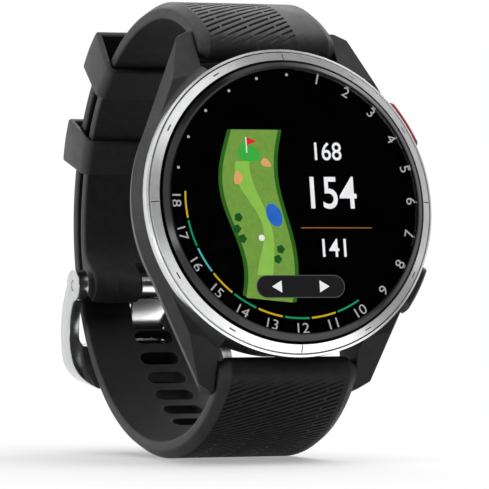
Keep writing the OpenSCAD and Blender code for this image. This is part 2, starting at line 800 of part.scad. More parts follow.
// Shorter strap, from the 12 o'clock lugs to the buckle's pin
module upper_strap() {
    start = bend_start(upper_c, upper_out_r, upper_bend_r);
    notch_r = barrel_r + 2 * tang_gap;
    color("#1e1f21") stand() difference() {
        union() {
            strap_run(upper_c, upper_out_r, buckle_turn - 1.5, start, strap_t, strap_w / 2);
            strap_nose(upper_c, upper_out_r, upper_bend_r);
            buckle_barrel();
        }
        bar_bore();
        loop_plane() translate([pin_c[0], pin_c[1], 0]) {
            cylinder(d = buckle_pin_d, h = strap_w + 2 * over, center = true);
            cylinder(r = notch_r, h = 2 * notch_half, center = true);
        }
    }
}

// Adjustment slot through the longer strap at an angle of the loop
module strap_slot(turn, len, corner) {
    loop_plane() translate([lower_c[0], lower_c[1], 0]) rotate([0, 0, turn])
        translate([lower_in_r - over, 0, 0]) rotate([0, 90, 0])
            linear_extrude(strap_t + 2 * over) round_rect(slot_w, len, corner);
}

// Rounded end of the tail: what lies beyond its two corner arcs
module tail_trim(turn) {
    half = strap_w / 2;
    loop_plane() translate([lower_c[0], lower_c[1], 0]) rotate([0, 0, turn])
        translate([lower_in_r - over, 0, 0]) rotate([0, 90, 0]) linear_extrude(strap_t + 2 * over)
            for (s = [-1, 1]) difference() {
                translate([s * (half - tail_corner / 2 + over / 2), -tail_corner / 2 + over / 2])
                    square([tail_corner + over, tail_corner + over], center = true);
                translate([s * (half - tail_corner), -tail_corner]) circle(r = tail_corner);
            }
}

// Longer strap, from the 6 o'clock lugs through the buckle to its tail under the keepers
module lower_strap() {
    start = bend_start(flipped_c, lower_out_r, lower_bend_r);
    tip = 180 - (tail_angle - 90);
    color("#1e1f21") stand() difference() {
        mirror([0, 1, 0]) difference() {
            union() {
                strap_run(flipped_c, lower_out_r, tip - 360, start, strap_t, strap_w / 2);
                strap_nose(flipped_c, lower_out_r, lower_bend_r);
            }
            bar_bore();
        }
        tail_trim(tail_angle - 90);
        strap_slot(tang_slot_turn, tang_slot_l, tang_slot_r);
        for (i = [1 : slots_below]) strap_slot(tang_slot_turn - i * slot_step, slot_l, slot_r);
        for (i = [1 : slots_above]) strap_slot(tang_slot_turn + i * slot_step, slot_l, slot_r);
    }
}

// Mirrors its children to the 6 o'clock side for a side of -1
module at_bar(side) {
    mirror([0, side < 0 ? 1 : 0, 0]) translate([0, bar_y, bar_z]) children();
}

module bar_tube(side) {
    color("#a9acb0") stand() at_bar(side) difference() {
        rotate([0, 90, 0]) cylinder(d = tube_d, h = strap_w - 2 * fit, center = true);
        rotate([0, 90, 0]) cylinder(r = pin_d / 2 + run_gap, h = strap_w + 2 * over, center = true);
        lever_room(tube_d);
    }
}

// Fixed pin at the 9 o'clock end of a spring bar
module bar_pin(side) {
    far = lug_gap / 2 + pin_in;
    color("#c3c6ca") stand() at_bar(side) translate([-far, 0, 0]) rotate([0, 90, 0])
        cylinder(d = pin_d, h = bar_pin_l());
}

// Length of a spring bar's fixed pin
function bar_pin_l() = pin_in + strap_gap + knob_in;

// Place along X of the inner end of a release lever's pin
function lever_end() = strap_w / 2 - knob_in - knob_d;

module bar_spring(side) {
    near = -lug_gap / 2 - pin_in + bar_pin_l();
    color("#8f9296") stand() at_bar(side) translate([near, 0, 0]) rotate([0, 90, 0]) difference() {
        cylinder(d = pin_d - fit, h = lever_end() - near);
        translate([0, 0, -over]) cylinder(d = pin_d / 2, h = lug_gap);
    }
}

// Sliding pin at the 3 o'clock end of a spring bar, with the knob that draws it in
module bar_lever(side) {
    far = lug_gap / 2 + pin_in;
    color("#c3c6ca") stand() at_bar(side) {
        translate([lever_end(), 0, 0]) rotate([0, 90, 0]) cylinder(d = pin_d, h = far - lever_end());
        translate([strap_w / 2 - knob_in, 0, -nose_r - knob_out]) cylinder(d = knob_d, h = nose_r + knob_out);
    }
}

// Button cap between two radii: an oblong inside a band that follows the case and has bevelled edges
module button_cap(side, r0, r1) {
    low = button_z - button_w / 2;
    high = button_z + button_w / 2;
    stand() intersection() {
        along_button(side) translate([0, 0, r0]) linear_extrude(r1 - r0 + over) oblong(button_l, button_w);
        rotate_extrude($fn = 360) polygon([
            [0, low - over], [r1 - face_step - over, low - over], [r1, low + face_step],
            [r1, high - face_step], [r1 - face_step - over, high + over], [0, high + over]
        ]);
    }
}

module upper_button() {
    color("#202124") button_cap(1, button_base, button_top - face_t);
}

module upper_button_face() {
    color("#b3262a") button_cap(1, button_top - face_t, button_top);
}

module lower_button() {
    color("#202124") button_cap(-1, button_base, button_top);
}

// Stem from the cap to the switch
module button_stem(side) {
    color("#a9acb0") stand() along_button(side) translate([0, 0, stem_end])
        cylinder(d = stem_d, h = button_base - stem_end);
}

module button_seal(side) {
    color("#141414") stand() along_button(side) translate([0, 0, seal_r]) rotate_extrude()
        translate([stem_d / 2 + seal_t / 2, 0]) circle(d = seal_t);
}

module button_clip(side) {
    color("#c3c6ca") stand() along_button(side) ring(clip_d / 2, stem_d / 2, clip_r - clip_t, clip_r);
}

// Band loop round both layers of the strap, at an angle of the loop
module keeper(angle, wide, room) {
    half = strap_w / 2 + keeper_gap + keeper_t;
    in_r = loop_r - keeper_gap - keeper_t;
    shift = norm(lower_c - upper_c);
    out_r = lower_out_r + shift + keeper_gap + room + keeper_t;
    span = wide / out_r * 180 / PI;
    c = keeper_chamfer;
    k = keeper_break;
    color("#232426") stand() loop_plane() translate([upper_c[0], upper_c[1], 0])
        rotate([0, 0, angle - 90 - span / 2]) rotate_extrude(angle = span, $fn = 180) difference() {
            polygon([
                [in_r, c - half], [in_r + c, -half], [out_r - k, -half], [out_r, k - half],
                [out_r, half - k], [out_r - k, half], [in_r + c, half], [in_r, half - c]
            ]);
            translate([in_r + keeper_t, keeper_t - half])
                square([out_r - in_r - 2 * keeper_t, 2 * (half - keeper_t)]);
        }
}

module upper_keeper() {
    keeper(upper_keeper_angle, upper_keeper_w, 0);
}

module lower_keeper() {
    keeper(lower_keeper_angle, lower_keeper_w, lower_keeper_room);
}

module buckle_pin() {
    color("#c8cacd") stand() loop_plane() translate([pin_c[0], pin_c[1], 0])
        cylinder(d = buckle_pin_d, h = 2 * (frame_half - fit), center = true);
}

// Side view of the buckle's frame: a curved band that ends in an eye
module frame_side() {
    circle(r = eye_r);
    intersection() {
        translate(band_c) difference() {
            circle(r = band_r, $fn = 180);
            circle(r = band_r - band_t, $fn = 180);
        }
        translate([0, band_c[1]]) square([2 * frame_l, 2 * band_r]);
    }
}

// Front view of the buckle's frame: u along the first axis, the wrist's width along the second
module frame_front() {
    back_u = 2 * eye_r;
    inside = frame_half - arm_t;
    corner_u = frame_l - frame_corner;
    difference() {
        union() {
            translate([-back_u, -frame_half]) square([back_u + corner_u, 2 * frame_half]);
            translate([0, frame_corner - frame_half]) square([frame_l, 2 * (frame_half - frame_corner)]);
            for (s = [-1, 1]) translate([corner_u, s * (frame_half - frame_corner)]) circle(r = frame_corner);
        }
        translate([(frame_l - far_bar_w) / 2 - back_u, 0])
            round_rect(frame_l - far_bar_w + 2 * back_u, 2 * inside, frame_corner / 2);
    }
}

module buckle_frame() {
    color("#cfd1d4") stand() difference() {
        buckle_plane() intersection() {
            linear_extrude(2 * frame_half, center = true) frame_side();
            rotate([-90, 0, 0]) linear_extrude(4 * band_r, center = true) frame_front();
        }
        buckle_plane() {
            cylinder(r = buckle_pin_d / 2 + run_gap, h = 3 * frame_half, center = true);
            linear_extrude(2 * notch_half, center = true) tang_room();
        }
        loop_plane() translate([lower_c[0], lower_c[1], 0])
            cylinder(r = lower_out_r + far_bar_gap, h = strap_w + arm_gap, center = true, $fn = 180);
    }
}

// Side view of the tang: an arched blade from an eye to the far bar
module tang_side() {
    circle(r = tang_eye_r);
    intersection() {
        translate(tang_c) difference() {
            circle(r = tang_r + tang_t / 2, $fn = 180);
            circle(r = tang_r - tang_t / 2, $fn = 180);
        }
        translate([0, -tang_r]) square([frame_l, 2 * tang_r]);
    }
}

// Side view of the notch in the far bar, in which the end of the tang lies
module tang_room() {
    difference() {
        translate([frame_l / 2, -tang_r]) square([frame_l, 3 * tang_r]);
        translate(tang_c) circle(r = tang_r - tang_t / 2 - 2 * fit, $fn = 180);
    }
}

module buckle_tang() {
    color("#d4d6d9") stand() buckle_plane() difference() {
        linear_extrude(tang_w, center = true) tang_side();
        cylinder(r = buckle_pin_d / 2 + run_gap, h = 2 * tang_w, center = true);
    }
}

case_body();
bezel();
lens();
lens_gasket();
display_module();
display_flex();
antenna_ring();
inner_frame();
main_board();
board_chips();
battery();
battery_pad();
vibration_motor();
button_switches();
rear_cover();
rear_gasket();
rear_screws();
charge_socket();
charge_contacts();
upper_strap();
lower_strap();
bar_tube(1);  // upper_bar_tube
bar_tube(-1);  // lower_bar_tube
bar_pin(1);  // upper_bar_pin
bar_pin(-1);  // lower_bar_pin
bar_spring(1);  // upper_bar_spring
bar_spring(-1);  // lower_bar_spring
bar_lever(1);  // upper_bar_lever
bar_lever(-1);  // lower_bar_lever
upper_button();
upper_button_face();
button_stem(1);  // upper_button_stem
button_seal(1);  // upper_button_seal
button_clip(1);  // upper_button_clip
lower_button();
button_stem(-1);  // lower_button_stem
button_seal(-1);  // lower_button_seal
button_clip(-1);  // lower_button_clip
upper_keeper();
lower_keeper();
buckle_pin();
buckle_frame();
buckle_tang();
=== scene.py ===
"""Looks of a golf watch with a round display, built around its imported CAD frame.

Drawings are made in the watch's own axes, in millimetres: X to 3 o'clock, Y to 12 o'clock, Z out of the
dial, with the origin at the middle of the rear cover. WATCH stands them up on the strap, in metres.
Straps are first drawn flat, as (across, along, height), and then bent along their path.
"""

import json
import math
from collections import namedtuple
from contextlib import contextmanager

import bmesh
import bpy
from mathutils import Matrix, Vector


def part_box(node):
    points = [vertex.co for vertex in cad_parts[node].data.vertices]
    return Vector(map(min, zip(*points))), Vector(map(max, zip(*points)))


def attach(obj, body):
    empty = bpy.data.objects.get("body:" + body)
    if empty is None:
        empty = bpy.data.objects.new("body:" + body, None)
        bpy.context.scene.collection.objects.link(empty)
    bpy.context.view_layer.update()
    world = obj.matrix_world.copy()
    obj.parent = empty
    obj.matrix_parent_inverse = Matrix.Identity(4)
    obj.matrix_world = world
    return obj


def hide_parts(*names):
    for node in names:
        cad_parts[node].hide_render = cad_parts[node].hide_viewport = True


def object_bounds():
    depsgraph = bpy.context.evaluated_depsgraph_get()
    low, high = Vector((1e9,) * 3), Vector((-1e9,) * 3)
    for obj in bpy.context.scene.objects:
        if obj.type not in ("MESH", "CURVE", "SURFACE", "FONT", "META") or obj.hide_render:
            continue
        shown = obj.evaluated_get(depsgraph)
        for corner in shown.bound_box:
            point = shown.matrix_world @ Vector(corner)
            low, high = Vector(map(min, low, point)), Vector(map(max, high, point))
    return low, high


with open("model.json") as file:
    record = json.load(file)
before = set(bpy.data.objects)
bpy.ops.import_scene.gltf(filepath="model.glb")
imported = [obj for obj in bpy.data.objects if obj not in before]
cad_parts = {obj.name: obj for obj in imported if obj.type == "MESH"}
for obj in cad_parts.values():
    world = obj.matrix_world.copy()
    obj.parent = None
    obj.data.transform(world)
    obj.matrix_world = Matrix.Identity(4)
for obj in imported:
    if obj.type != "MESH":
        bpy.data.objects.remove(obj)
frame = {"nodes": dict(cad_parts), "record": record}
CAD_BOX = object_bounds()

# Places taken from the frame
MM = 0.001
RECORD = frame["record"]
MOUNTS = {m["name"]: m for m in RECORD["mounts"]}
JOINTS = {j["name"]: j for j in RECORD["behaviour"]["joints"]}
REAR_AXIS = MOUNTS["rear_face"]["axis"]
LEAN = math.atan2(-REAR_AXIS[2], REAR_AXIS[1])
STAND = Matrix.Rotation(math.pi / 2 - LEAN, 4, "X")
WATCH = STAND @ Matrix.Scale(MM, 4)


def loop_place(joint):
    """Place of a hinge of the loop in the loop plane, whose axes are the watch's Y and Z."""
    place = WATCH.inverted() @ Vector(JOINTS[joint]["pos_m"])
    return Vector((place.y, place.z))


# Case and lens, as in the CAD model, and the top of the black block under the lens
CASE_H = 11.2
LENS_R = 18.5
LENS_TOP = 12.1
BLOCK_TOP = 11.58
DIAL = WATCH @ Vector((0, 0, CASE_H))

# Strap, as in the CAD model
STRAP_W = 19.6
STRAP_T = 2.3
BEVEL_W = 1.3
BEVEL_H = 0.9
LOOP_R = 28.1
LAYER_GAP = 0.4
NOSE_R = 2.2
BAR = Vector((22.0, 3.5))
NOSE = Vector((21.8, 5.0))
UPPER_BEND_R = 22.0
LOWER_BEND_R = 24.0
LOWER_TUCK = 1.05
TAIL_TURN = -147.0
TAIL_CORNER = 5.0
BARREL_R = 2.4
BARREL_TURN = 84
FLARE_TURN = 11.0
HALF = STRAP_W / 2
OUT_R = LOOP_R + STRAP_T
LOWER_OUT_R = LOOP_R + 1.5 * STRAP_T

# Slots of the longer strap; the one round the tang is stretched
SLOT_W = 5.8
SLOT_L = 2.3
SLOT_PITCH = 3.9
SLOT_CORNER = 1.14
TANG_SLOT_W = 5.4
TANG_SLOT_L = 5.0
TANG_SLOT_CORNER = 0.25
TANG_SLOT_TURN = -73.69
SLOT_RIM = 0.2
TANG_SLOT_RIM = 0.1
SLOTS_BELOW = 6
SLOTS_ABOVE = 3

# Moulded grooves of the straps; every second one is broken at the gaps
Grooves = namedtuple("Grooves", "lean slant pitch width floor depth start left right gaps")
UPPER_GROOVES = Grooves(1, 0.61, 1.135, 0.5, 0.24, 0.32, 3.2, -8.38, 3.95, (-6.2, -2.25, 1.75))
LOWER_GROOVES = Grooves(-1, 0.466, 0.84, 0.4, 0.2, 0.28, 3.8, -8.4, 7.8, (-6.2, -2.25, 1.75, 5.7))
GAP_HALF = 0.14
GROOVE_END = 0.08
GROOVE_FADE = 2.6
PLAIN_STEP = 0.6

# Keepers, as in the CAD model
KEEPER_GAP = 0.25
KEEPER_T = 0.9
KEEPER_SIZES = {"upper_keeper": (56.0, 6.9, 0.0), "lower_keeper": (30.5, 6.3, 0.6)}

# Buckle, as in the CAD model, with a broader far bar
FRAME_TURN = 196.4
FRAME_L = 13.9
FRAME_CORNER = 3.5
FAR_BAR_W = 4.9
FAR_BAR_GAP = 0.3
ARM_T = 1.5
ARM_GAP = 0.9
EYE_R = 2.2
BAND_R = 10.7
BAND_T = 3.0
BAND_C = Vector((5.807, -7.0))
TANG_C = Vector((7.7, -12.57))
NOTCH_R = 14.4
NOTCH_HALF = 2.85
PIN_ROOM_R = 0.8
FRAME_ROUND = 0.35
WINDOW_CROWN = 1.1

# Camera, matched to the photograph
CAMERA_AZIMUTH = math.radians(23.61)
CAMERA_DISTANCE = 0.6
CAMERA_LEFT = 0.006364
CAMERA_DOWN = 0.005606
CAMERA_LENS = 338.44

# Overlap of cutting tools, steps of a fillet and the range that a noise fills
OVER = 1.0
FILLET_STEPS = 3
NOISE_LOW, NOISE_HIGH = 0.3, 0.7

Arc = namedtuple("Arc", "centre r0 r1 a0 a1 inward")
Stretch = namedtuple("Stretch", "outer inner length")


# Small geometry
def heading(degrees):
    a = math.radians(degrees)
    return Vector((math.cos(a), math.sin(a)))


def turn_of(vector):
    return math.degrees(math.atan2(vector.y, vector.x))


def smooth(t):
    t = min(max(t, 0.0), 1.0)
    return t * t * (3 - 2 * t)


def arc_at(arc, t):
    """Point of an arc and the direction from it into the strap."""
    a = arc.a0 + (arc.a1 - arc.a0) * t
    out = heading(a)
    r = arc.r0 + (arc.r1 - arc.r0) * smooth(t)
    return arc.centre + r * out, arc.inward * out


def stretch(outer, inner):
    length = math.radians(abs(outer.a1 - outer.a0)) * (outer.r0 + outer.r1) / 2
    return Stretch(outer, inner, length)


def crossing(c1, r1, c2, r2):
    """Angle, seen from the first centre, of the crossing of two circles with the smaller angle."""
    d = (c2 - c1).length
    return turn_of(c2 - c1) - math.degrees(math.acos((d * d + r1 * r1 - r2 * r2) / (2 * d * r1)))


# Paths of the straps in the loop plane, from the nose at the lugs
NOSE_POLE = 176.0


def nose_path(centre, out_r, bend_r):
    """Nose and bend of a strap; the last value is the angle at which the loop goes on."""
    bend_in = bend_r - STRAP_T
    start = crossing(centre, out_r - bend_r, NOSE, bend_r - NOSE_R)
    bend_c = centre + (out_r - bend_r) * heading(start)
    top = turn_of(NOSE - bend_c)
    low = crossing(bend_c, bend_in, BAR, NOSE_R)
    foot = turn_of(bend_c + bend_in * heading(low) - BAR) + 360
    over, under = (NOSE, NOSE_R, NOSE_R, NOSE_POLE, top, -1), (BAR, NOSE_R, NOSE_R, 360 - NOSE_POLE, foot, -1)
    nose = stretch(Arc(*over), Arc(*under))
    bend = stretch(Arc(bend_c, bend_r, bend_r, top, start, -1), Arc(bend_c, bend_in, bend_in, low, start, 1))
    return [nose, bend], start


def loop_stretch(centre, out_r, start, end):
    in_r = out_r - STRAP_T
    return stretch(Arc(centre, out_r, out_r, start, end, -1), Arc(centre, in_r, in_r, start, end, 1))


def upper_path():
    centre = loop_place("upper_keeper_slip")
    pin = loop_place("buckle_frame_turn")
    pin_turn = turn_of(pin - centre)
    pin_r = (pin - centre).length
    flare = pin_turn + FLARE_TURN
    path, start = nose_path(centre, OUT_R, UPPER_BEND_R)
    widening = stretch(
        Arc(centre, OUT_R, pin_r + BARREL_R, flare, pin_turn, -1),
        Arc(centre, LOOP_R, pin_r - BARREL_R, flare, pin_turn, 1))
    barrel = stretch(
        Arc(pin, BARREL_R, BARREL_R, pin_turn, pin_turn - BARREL_TURN, -1),
        Arc(pin, BARREL_R, BARREL_R, pin_turn + 180, pin_turn + 180 + BARREL_TURN, -1))
    return path + [loop_stretch(centre, OUT_R, start, flare), widening, barrel]


def lower_centre():
    """Centre of the longer strap's loop, with the Y axis turned round so that it also runs from its lugs."""
    centre = loop_place("lower_keeper_slip")
    reach = LOWER_OUT_R - NOSE_R - LOWER_TUCK
    z = centre.y - LAYER_GAP - STRAP_T / 2
    rise = NOSE.y - z
    return Vector((NOSE.x - math.sqrt(reach * reach - rise * rise), z))


def lower_path():
    path, start = nose_path(lower_centre(), LOWER_OUT_R, LOWER_BEND_R)
    return path + [loop_stretch(lower_centre(), LOWER_OUT_R, start, TAIL_TURN)]


def path_length(path):
    return sum(part.length for part in path)


def loop_distance(path, turn):
    """Distance along a strap to an angle of its loop."""
    loop = path[2].outer
    share = (turn - loop.a0) / (loop.a1 - loop.a0)
    return path[0].length + path[1].length + share * path[2].length


def bent(path, along, height):
    """Place in the loop plane of a point of the flat strap."""
    for part in path:
        if along <= part.length or part is path[-1]:
            break
        along -= part.length
    arc, depth = (part.outer, STRAP_T - height) if height > STRAP_T / 2 else (part.inner, height)
    point, inward = arc_at(arc, min(max(along / part.length, 0.0), 1.0))
    return point + depth * inward


# Meshes
def link(name, mesh):
    obj = bpy.data.objects.new(name, mesh)
    bpy.context.scene.collection.objects.link(obj)
    return obj


def mesh_of(name, points, faces):
    mesh = bpy.data.meshes.new(name)
    mesh.from_pydata(points, [], faces)
    tidy(mesh)
    return mesh


@contextmanager
def edited(mesh):
    bm = bmesh.new()
    bm.from_mesh(mesh)
    yield bm
    bm.to_mesh(mesh)
    bm.free()


def tidy(mesh):
    """Joins points that coincide and turns all faces outwards."""
    same_place = 1e-7
    with edited(mesh) as bm:
        bmesh.ops.remove_doubles(bm, verts=bm.verts, dist=same_place)
        bmesh.ops.recalc_face_normals(bm, faces=bm.faces)
        if all(edge.is_manifold for edge in bm.edges) and bm.calc_volume(signed=True) < 0:
            bmesh.ops.reverse_faces(bm, faces=bm.faces)


def baked(obj):
    """Mesh that an object shows."""
    depsgraph = bpy.context.evaluated_depsgraph_get()
    return bpy.data.meshes.new_from_object(obj.evaluated_get(depsgraph))


def cut(mesh, cutter, operation="DIFFERENCE"):
    """The mesh after a boolean with another one."""
    obj = link("cut_body", mesh)
    tool = link("cut_tool", cutter)
    modifier = obj.modifiers.new("cut", "BOOLEAN")
    modifier.object = tool
    modifier.operation = operation
    modifier.solver = "MANIFOLD"
    result = baked(obj)
    bpy.data.objects.remove(obj)
    bpy.data.objects.remove(tool)
    return result


def skin(n, rows, open_ring=False, open_ends=True):
    """Faces over rows of n points each."""
    faces = []
    for j in range(rows - 1 if open_ends else rows):
        base, after = j * n, (j + 1) % rows * n
        for i in range(n - 1 if open_ring else n):
            k = (i + 1) % n
            faces.append((base + i, base + k, after + k, after + i))
    return faces


def stacked(levels):
    """Points and faces of a body through like outlines, given as (outline, height) from below."""
    n = len(levels[0][0])
    points = [(x, y, z) for outline, z in levels for x, y in outline]
    ends = [tuple(range(n - 1, -1, -1)), tuple(range(len(points) - n, len(points)))]
    return points, ends + skin(n, len(levels))


def prism(outline, z0, z1):
    """Points and faces of an upright prism over an outline."""
    return stacked([(outline, z0), (outline, z1)])


def joined(parts):
    """Several lists of points and faces as one."""
    points, faces = [], []
    for more_points, more_faces in parts:
        base = len(points)
        points += more_points
        faces += [tuple(base + i for i in face) for face in more_faces]
    return points, faces


def moved(part, matrix):
    return [matrix @ Vector(p) for p in part[0]], part[1]


def round_rect(width, length, r, steps=6):
    """Outline of a rectangle with round corners about the origin."""
    outline = []
    for k, (sx, sy) in enumerate(((1, 1), (-1, 1), (-1, -1), (1, -1))):
        for i in range(steps + 1):
            corner = Vector((sx * (width / 2 - r), sy * (length / 2 - r)))
            outline.append(tuple(corner + r * heading(90 * k + 90 * i / steps)))
    return outline


def circle(r, steps):
    return [tuple(r * heading(360 * i / steps)) for i in range(steps)]


def rectangle(width, length):
    x, y = width / 2, length / 2
    return [(-x, -y), (x, -y), (x, y), (-x, y)]


def piece(name, mesh, body, material, crease=30):
    """A finished piece that rides on a body; faces that meet at more than the crease angle keep an edge."""
    for face in mesh.polygons:
        face.use_smooth = True
    mesh.set_sharp_from_angle(angle=math.radians(crease))
    obj = link(name, mesh)
    obj.data.materials.clear()
    obj.data.materials.append(material)
    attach(obj, body)
    return obj


def case_piece(name, parts, material, crease=30):
    """A piece of the case from lists of points and faces in the watch's axes."""
    mesh = mesh_of(name, *moved(joined(parts), WATCH))
    return piece(name, mesh, "case", material, crease)


# Straps
def filleted(corners):
    """Closed outline from corners given as (x, y, fillet radius)."""
    outline = []
    places = [Vector(corner[:2]) for corner in corners]
    for i, place in enumerate(places):
        r = corners[i][2]
        before, after = ((places[k % len(places)] - place).normalized() for k in (i - 1, i + 1))
        half = before.angle(after) / 2
        centre = place + (before + after).normalized() * (r / math.sin(half))
        first, last = (place + way * (r / math.tan(half)) - centre for way in (before, after))
        for k in range(FILLET_STEPS + 1):
            outline.append(centre + first.lerp(last, k / FILLET_STEPS).normalized() * r)
    return outline


def stepped(start, end, step):
    return [start + i * step for i in range(math.ceil((end - start) / step))]


def groove_columns(grooves):
    """Places across the strap as (x, share of depth in a whole groove, share in a broken one)."""
    margin, step, clear = 1, 0.8, 0.3
    columns = [(grooves.left, 0, 0), (grooves.left + GROOVE_END, 1, 1)]
    columns += [(grooves.right - GROOVE_END, 1, 1), (grooves.right, 0, 0)]
    for gap in grooves.gaps:
        for side in (-1, 1):
            columns += [(gap + side * (GAP_HALF + GROOVE_END), 1, 1), (gap + side * GAP_HALF, 1, 0)]
    for x in stepped(math.ceil(grooves.left + margin), grooves.right - margin, step):
        if all(abs(x - known[0]) > clear for known in columns):
            in_groove = all(abs(x - gap) > GAP_HALF for gap in grooves.gaps)
            columns.append((x, 1, int(in_groove)))
    return sorted(columns)


def strap_ring(grooves):
    """Section of a strap as (across, height, share of depth whole, share broken) points."""
    top_r, side_r, low_r = 0.5, 0.45, 0.35
    step, margin, floor_share, floor_count = 1.0, 0.6, 0.9, 8
    shoulder = HALF - BEVEL_W
    right = [(shoulder, STRAP_T, top_r), (HALF, STRAP_T - BEVEL_H, side_r), (HALF, 0, low_r)]
    corners = right + [(-x, y, r) for x, y, r in reversed(right)]
    rim = [(p.x, p.y, 0, 0) for p in filleted(corners)]
    low = len(rim) // 2
    face = [(x, STRAP_T, whole, broken) for x, whole, broken in groove_columns(grooves)]
    face += [(x, STRAP_T, 0, 0) for x in stepped(grooves.right + step, shoulder - margin, step)]
    reach = HALF * floor_share
    floor = [(reach * (1 - 2 * i / (floor_count - 1)), 0, 0, 0) for i in range(floor_count)]
    return face + rim[:low] + floor + rim[low:]


def strap_rows(grooves, length, high):
    """Rows along the flat strap as (distance, groove number or None), with four rows to a groove."""
    pause = 0.2
    reach = HALF * grooves.slant
    first = grooves.start - reach
    rows = [(v, None) for v in stepped(-reach - PLAIN_STEP, first - PLAIN_STEP / 2, PLAIN_STEP)]
    count = int((high - grooves.start + 2 * reach) / grooves.pitch)
    for k in range(count):
        mid = first + (k + 0.5) * grooves.pitch
        rows += [(mid - grooves.width / 2, None), (mid - grooves.floor / 2, k)]
        rows += [(mid + grooves.floor / 2, k), (mid + grooves.width / 2, None)]
    last = first + (count + pause) * grooves.pitch
    return rows + [(v, None) for v in stepped(last, length + reach + PLAIN_STEP, PLAIN_STEP)]


def flat_strap(grooves, length, high):
    """Closed flat strap with slanted grooves in its outer face, up to a distance."""
    ring = strap_ring(grooves)
    rows = strap_rows(grooves, length, high)
    points = []
    for v, groove in rows:
        for x, h, whole, broken in ring:
            along = v + grooves.lean * grooves.slant * x
            if groove is not None and grooves.start <= along <= high:
                faded = min(1.0, (along - grooves.start) / GROOVE_FADE)
                h -= grooves.depth * faded * (broken if groove % 2 else whole)
            points.append((x, along, h))
    mesh = mesh_of("flat_strap", points, skin(len(ring), len(rows)))
    trim_ends(mesh, length)
    return mesh


def trim_ends(mesh, length):
    """Cuts the flat strap square at both ends and closes it there."""
    near = 1e-5
    with edited(mesh) as bm:
        for place, way in ((0.0, -1), (length, 1)):
            geom = bm.verts[:] + bm.edges[:] + bm.faces[:]
            plane = {"plane_co": (0, place, 0), "plane_no": (0, way, 0)}
            bmesh.ops.bisect_plane(bm, geom=geom, dist=near, clear_outer=True, **plane)
            rim = [e for e in bm.edges if e.is_boundary]
            bmesh.ops.holes_fill(bm, edges=rim, sides=0)
        bmesh.ops.recalc_face_normals(bm, faces=bm.faces)


def bend_mesh(mesh, path, side):
    """Bends a flat strap along its path; side is -1 for the strap at 6 o'clock. Stays in millimetres."""
    for vertex in mesh.vertices:
        x, along, height = vertex.co
        place = bent(path, along, height)
        vertex.co = (x, side * place.x, place.y)
    tidy(mesh)


def rod(r, half, centre, steps=40):
    """Round rod along X about a place in the loop plane."""
    part = prism(circle(r, steps), -half, half)
    turn = Matrix.Translation((0, centre.x, centre.y)) @ Matrix.Rotation(math.pi / 2, 4, "Y")
    return moved(part, turn)


def bar_room(side):
    """Bore for the spring bar and opening for the quick-release knob."""
    bore_r, knob_x, travel, room, depth = 0.8, 7.2, 1.3, 0.75, 3.2
    place = Vector((side * BAR.x, BAR.y))
    opening = prism(rectangle(travel + 2 * room, 2 * room), -depth, 0)
    opening = moved(opening, Matrix.Translation((knob_x - travel / 2, place.x, place.y)))
    bore = mesh_of("bar_bore", *rod(bore_r, HALF + OVER, place))
    return cut(bore, mesh_of("knob_room", *opening), "UNION")


def loop_view(vector, side):
    """A vector of the watch as the loop plane of one strap shows it."""
    return Vector((side * vector.y, vector.z))


def is_dark(face, path, slots, side):
    """Whether a face of a bent strap is on its wrist side or in a slot, the faces that get painted shade;
    slots are (middle, way through).
    """
    near, straight = 0.1, 0.97
    reach, upright, hair = 3.2, 0.3, 0.05
    spot, normal = loop_view(face.center, side), loop_view(face.normal, side)
    for arc in (part.inner for part in path):
        out = spot - arc.centre
        if abs(out.length - arc.r0) < near and normal.dot(-arc.inward * out.normalized()) > straight:
            return True
    if abs(face.center.x) > SLOT_W / 2 + hair:
        return False
    return any((mid - spot).length < reach and abs(normal.dot(way)) < upright for mid, way in slots)


def finish_strap(name, mesh, path, side, body_cuts, mats, slots=()):
    """Bends, cuts and dresses a strap; one with slots gets painted shade, a darker silicone, in them and on
    its wrist side.
    """
    bend_mesh(mesh, path, side)
    for tool in body_cuts:
        mesh = cut(mesh, tool)
    tidy(mesh)
    faces = mesh.polygons if slots else []
    darker = [is_dark(face, path, slots, side) for face in faces]
    mesh.transform(WATCH)
    strap = piece(name + "_skin", mesh, "case", mats["strap_silicone"])
    # Painted shade: the wrist side and the slot walls take the darker copy of the silicone
    if slots:
        strap.data.materials.append(mats["strap_painted_shade"])
        for face, dark in zip(strap.data.polygons, darker):
            face.material_index = int(dark)
    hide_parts(name)


def make_upper_strap(mats):
    grooves_end, notch_r, notch_half, pin_r = -28.0, 3.1, 2.85, 0.75
    path = upper_path()
    pin = loop_place("buckle_frame_turn")
    mesh = flat_strap(UPPER_GROOVES, path_length(path), loop_distance(path, grooves_end))
    cuts = [
        bar_room(1),
        mesh_of("notch", *rod(notch_r, notch_half, pin)),
        mesh_of("pin_bore", *rod(pin_r, HALF + OVER, pin)),
    ]
    finish_strap("upper_strap", mesh, path, 1, cuts, mats)


def slot_tool(width, length, r, rim):
    """Tool for a slot whose edge is rounded on the wrist side, which is at height 0."""
    steps = 3
    levels = [(rim, -OVER)]
    for i in range(steps + 1):
        turn = heading(90 * i / steps)
        levels.append((rim * (1 - turn.y), rim * (1 - turn.x)))
    levels.append((0.0, STRAP_T + OVER))
    return stacked([
        (round_rect(width + 2 * more, length + 2 * more, r + more), height) for more, height in levels])


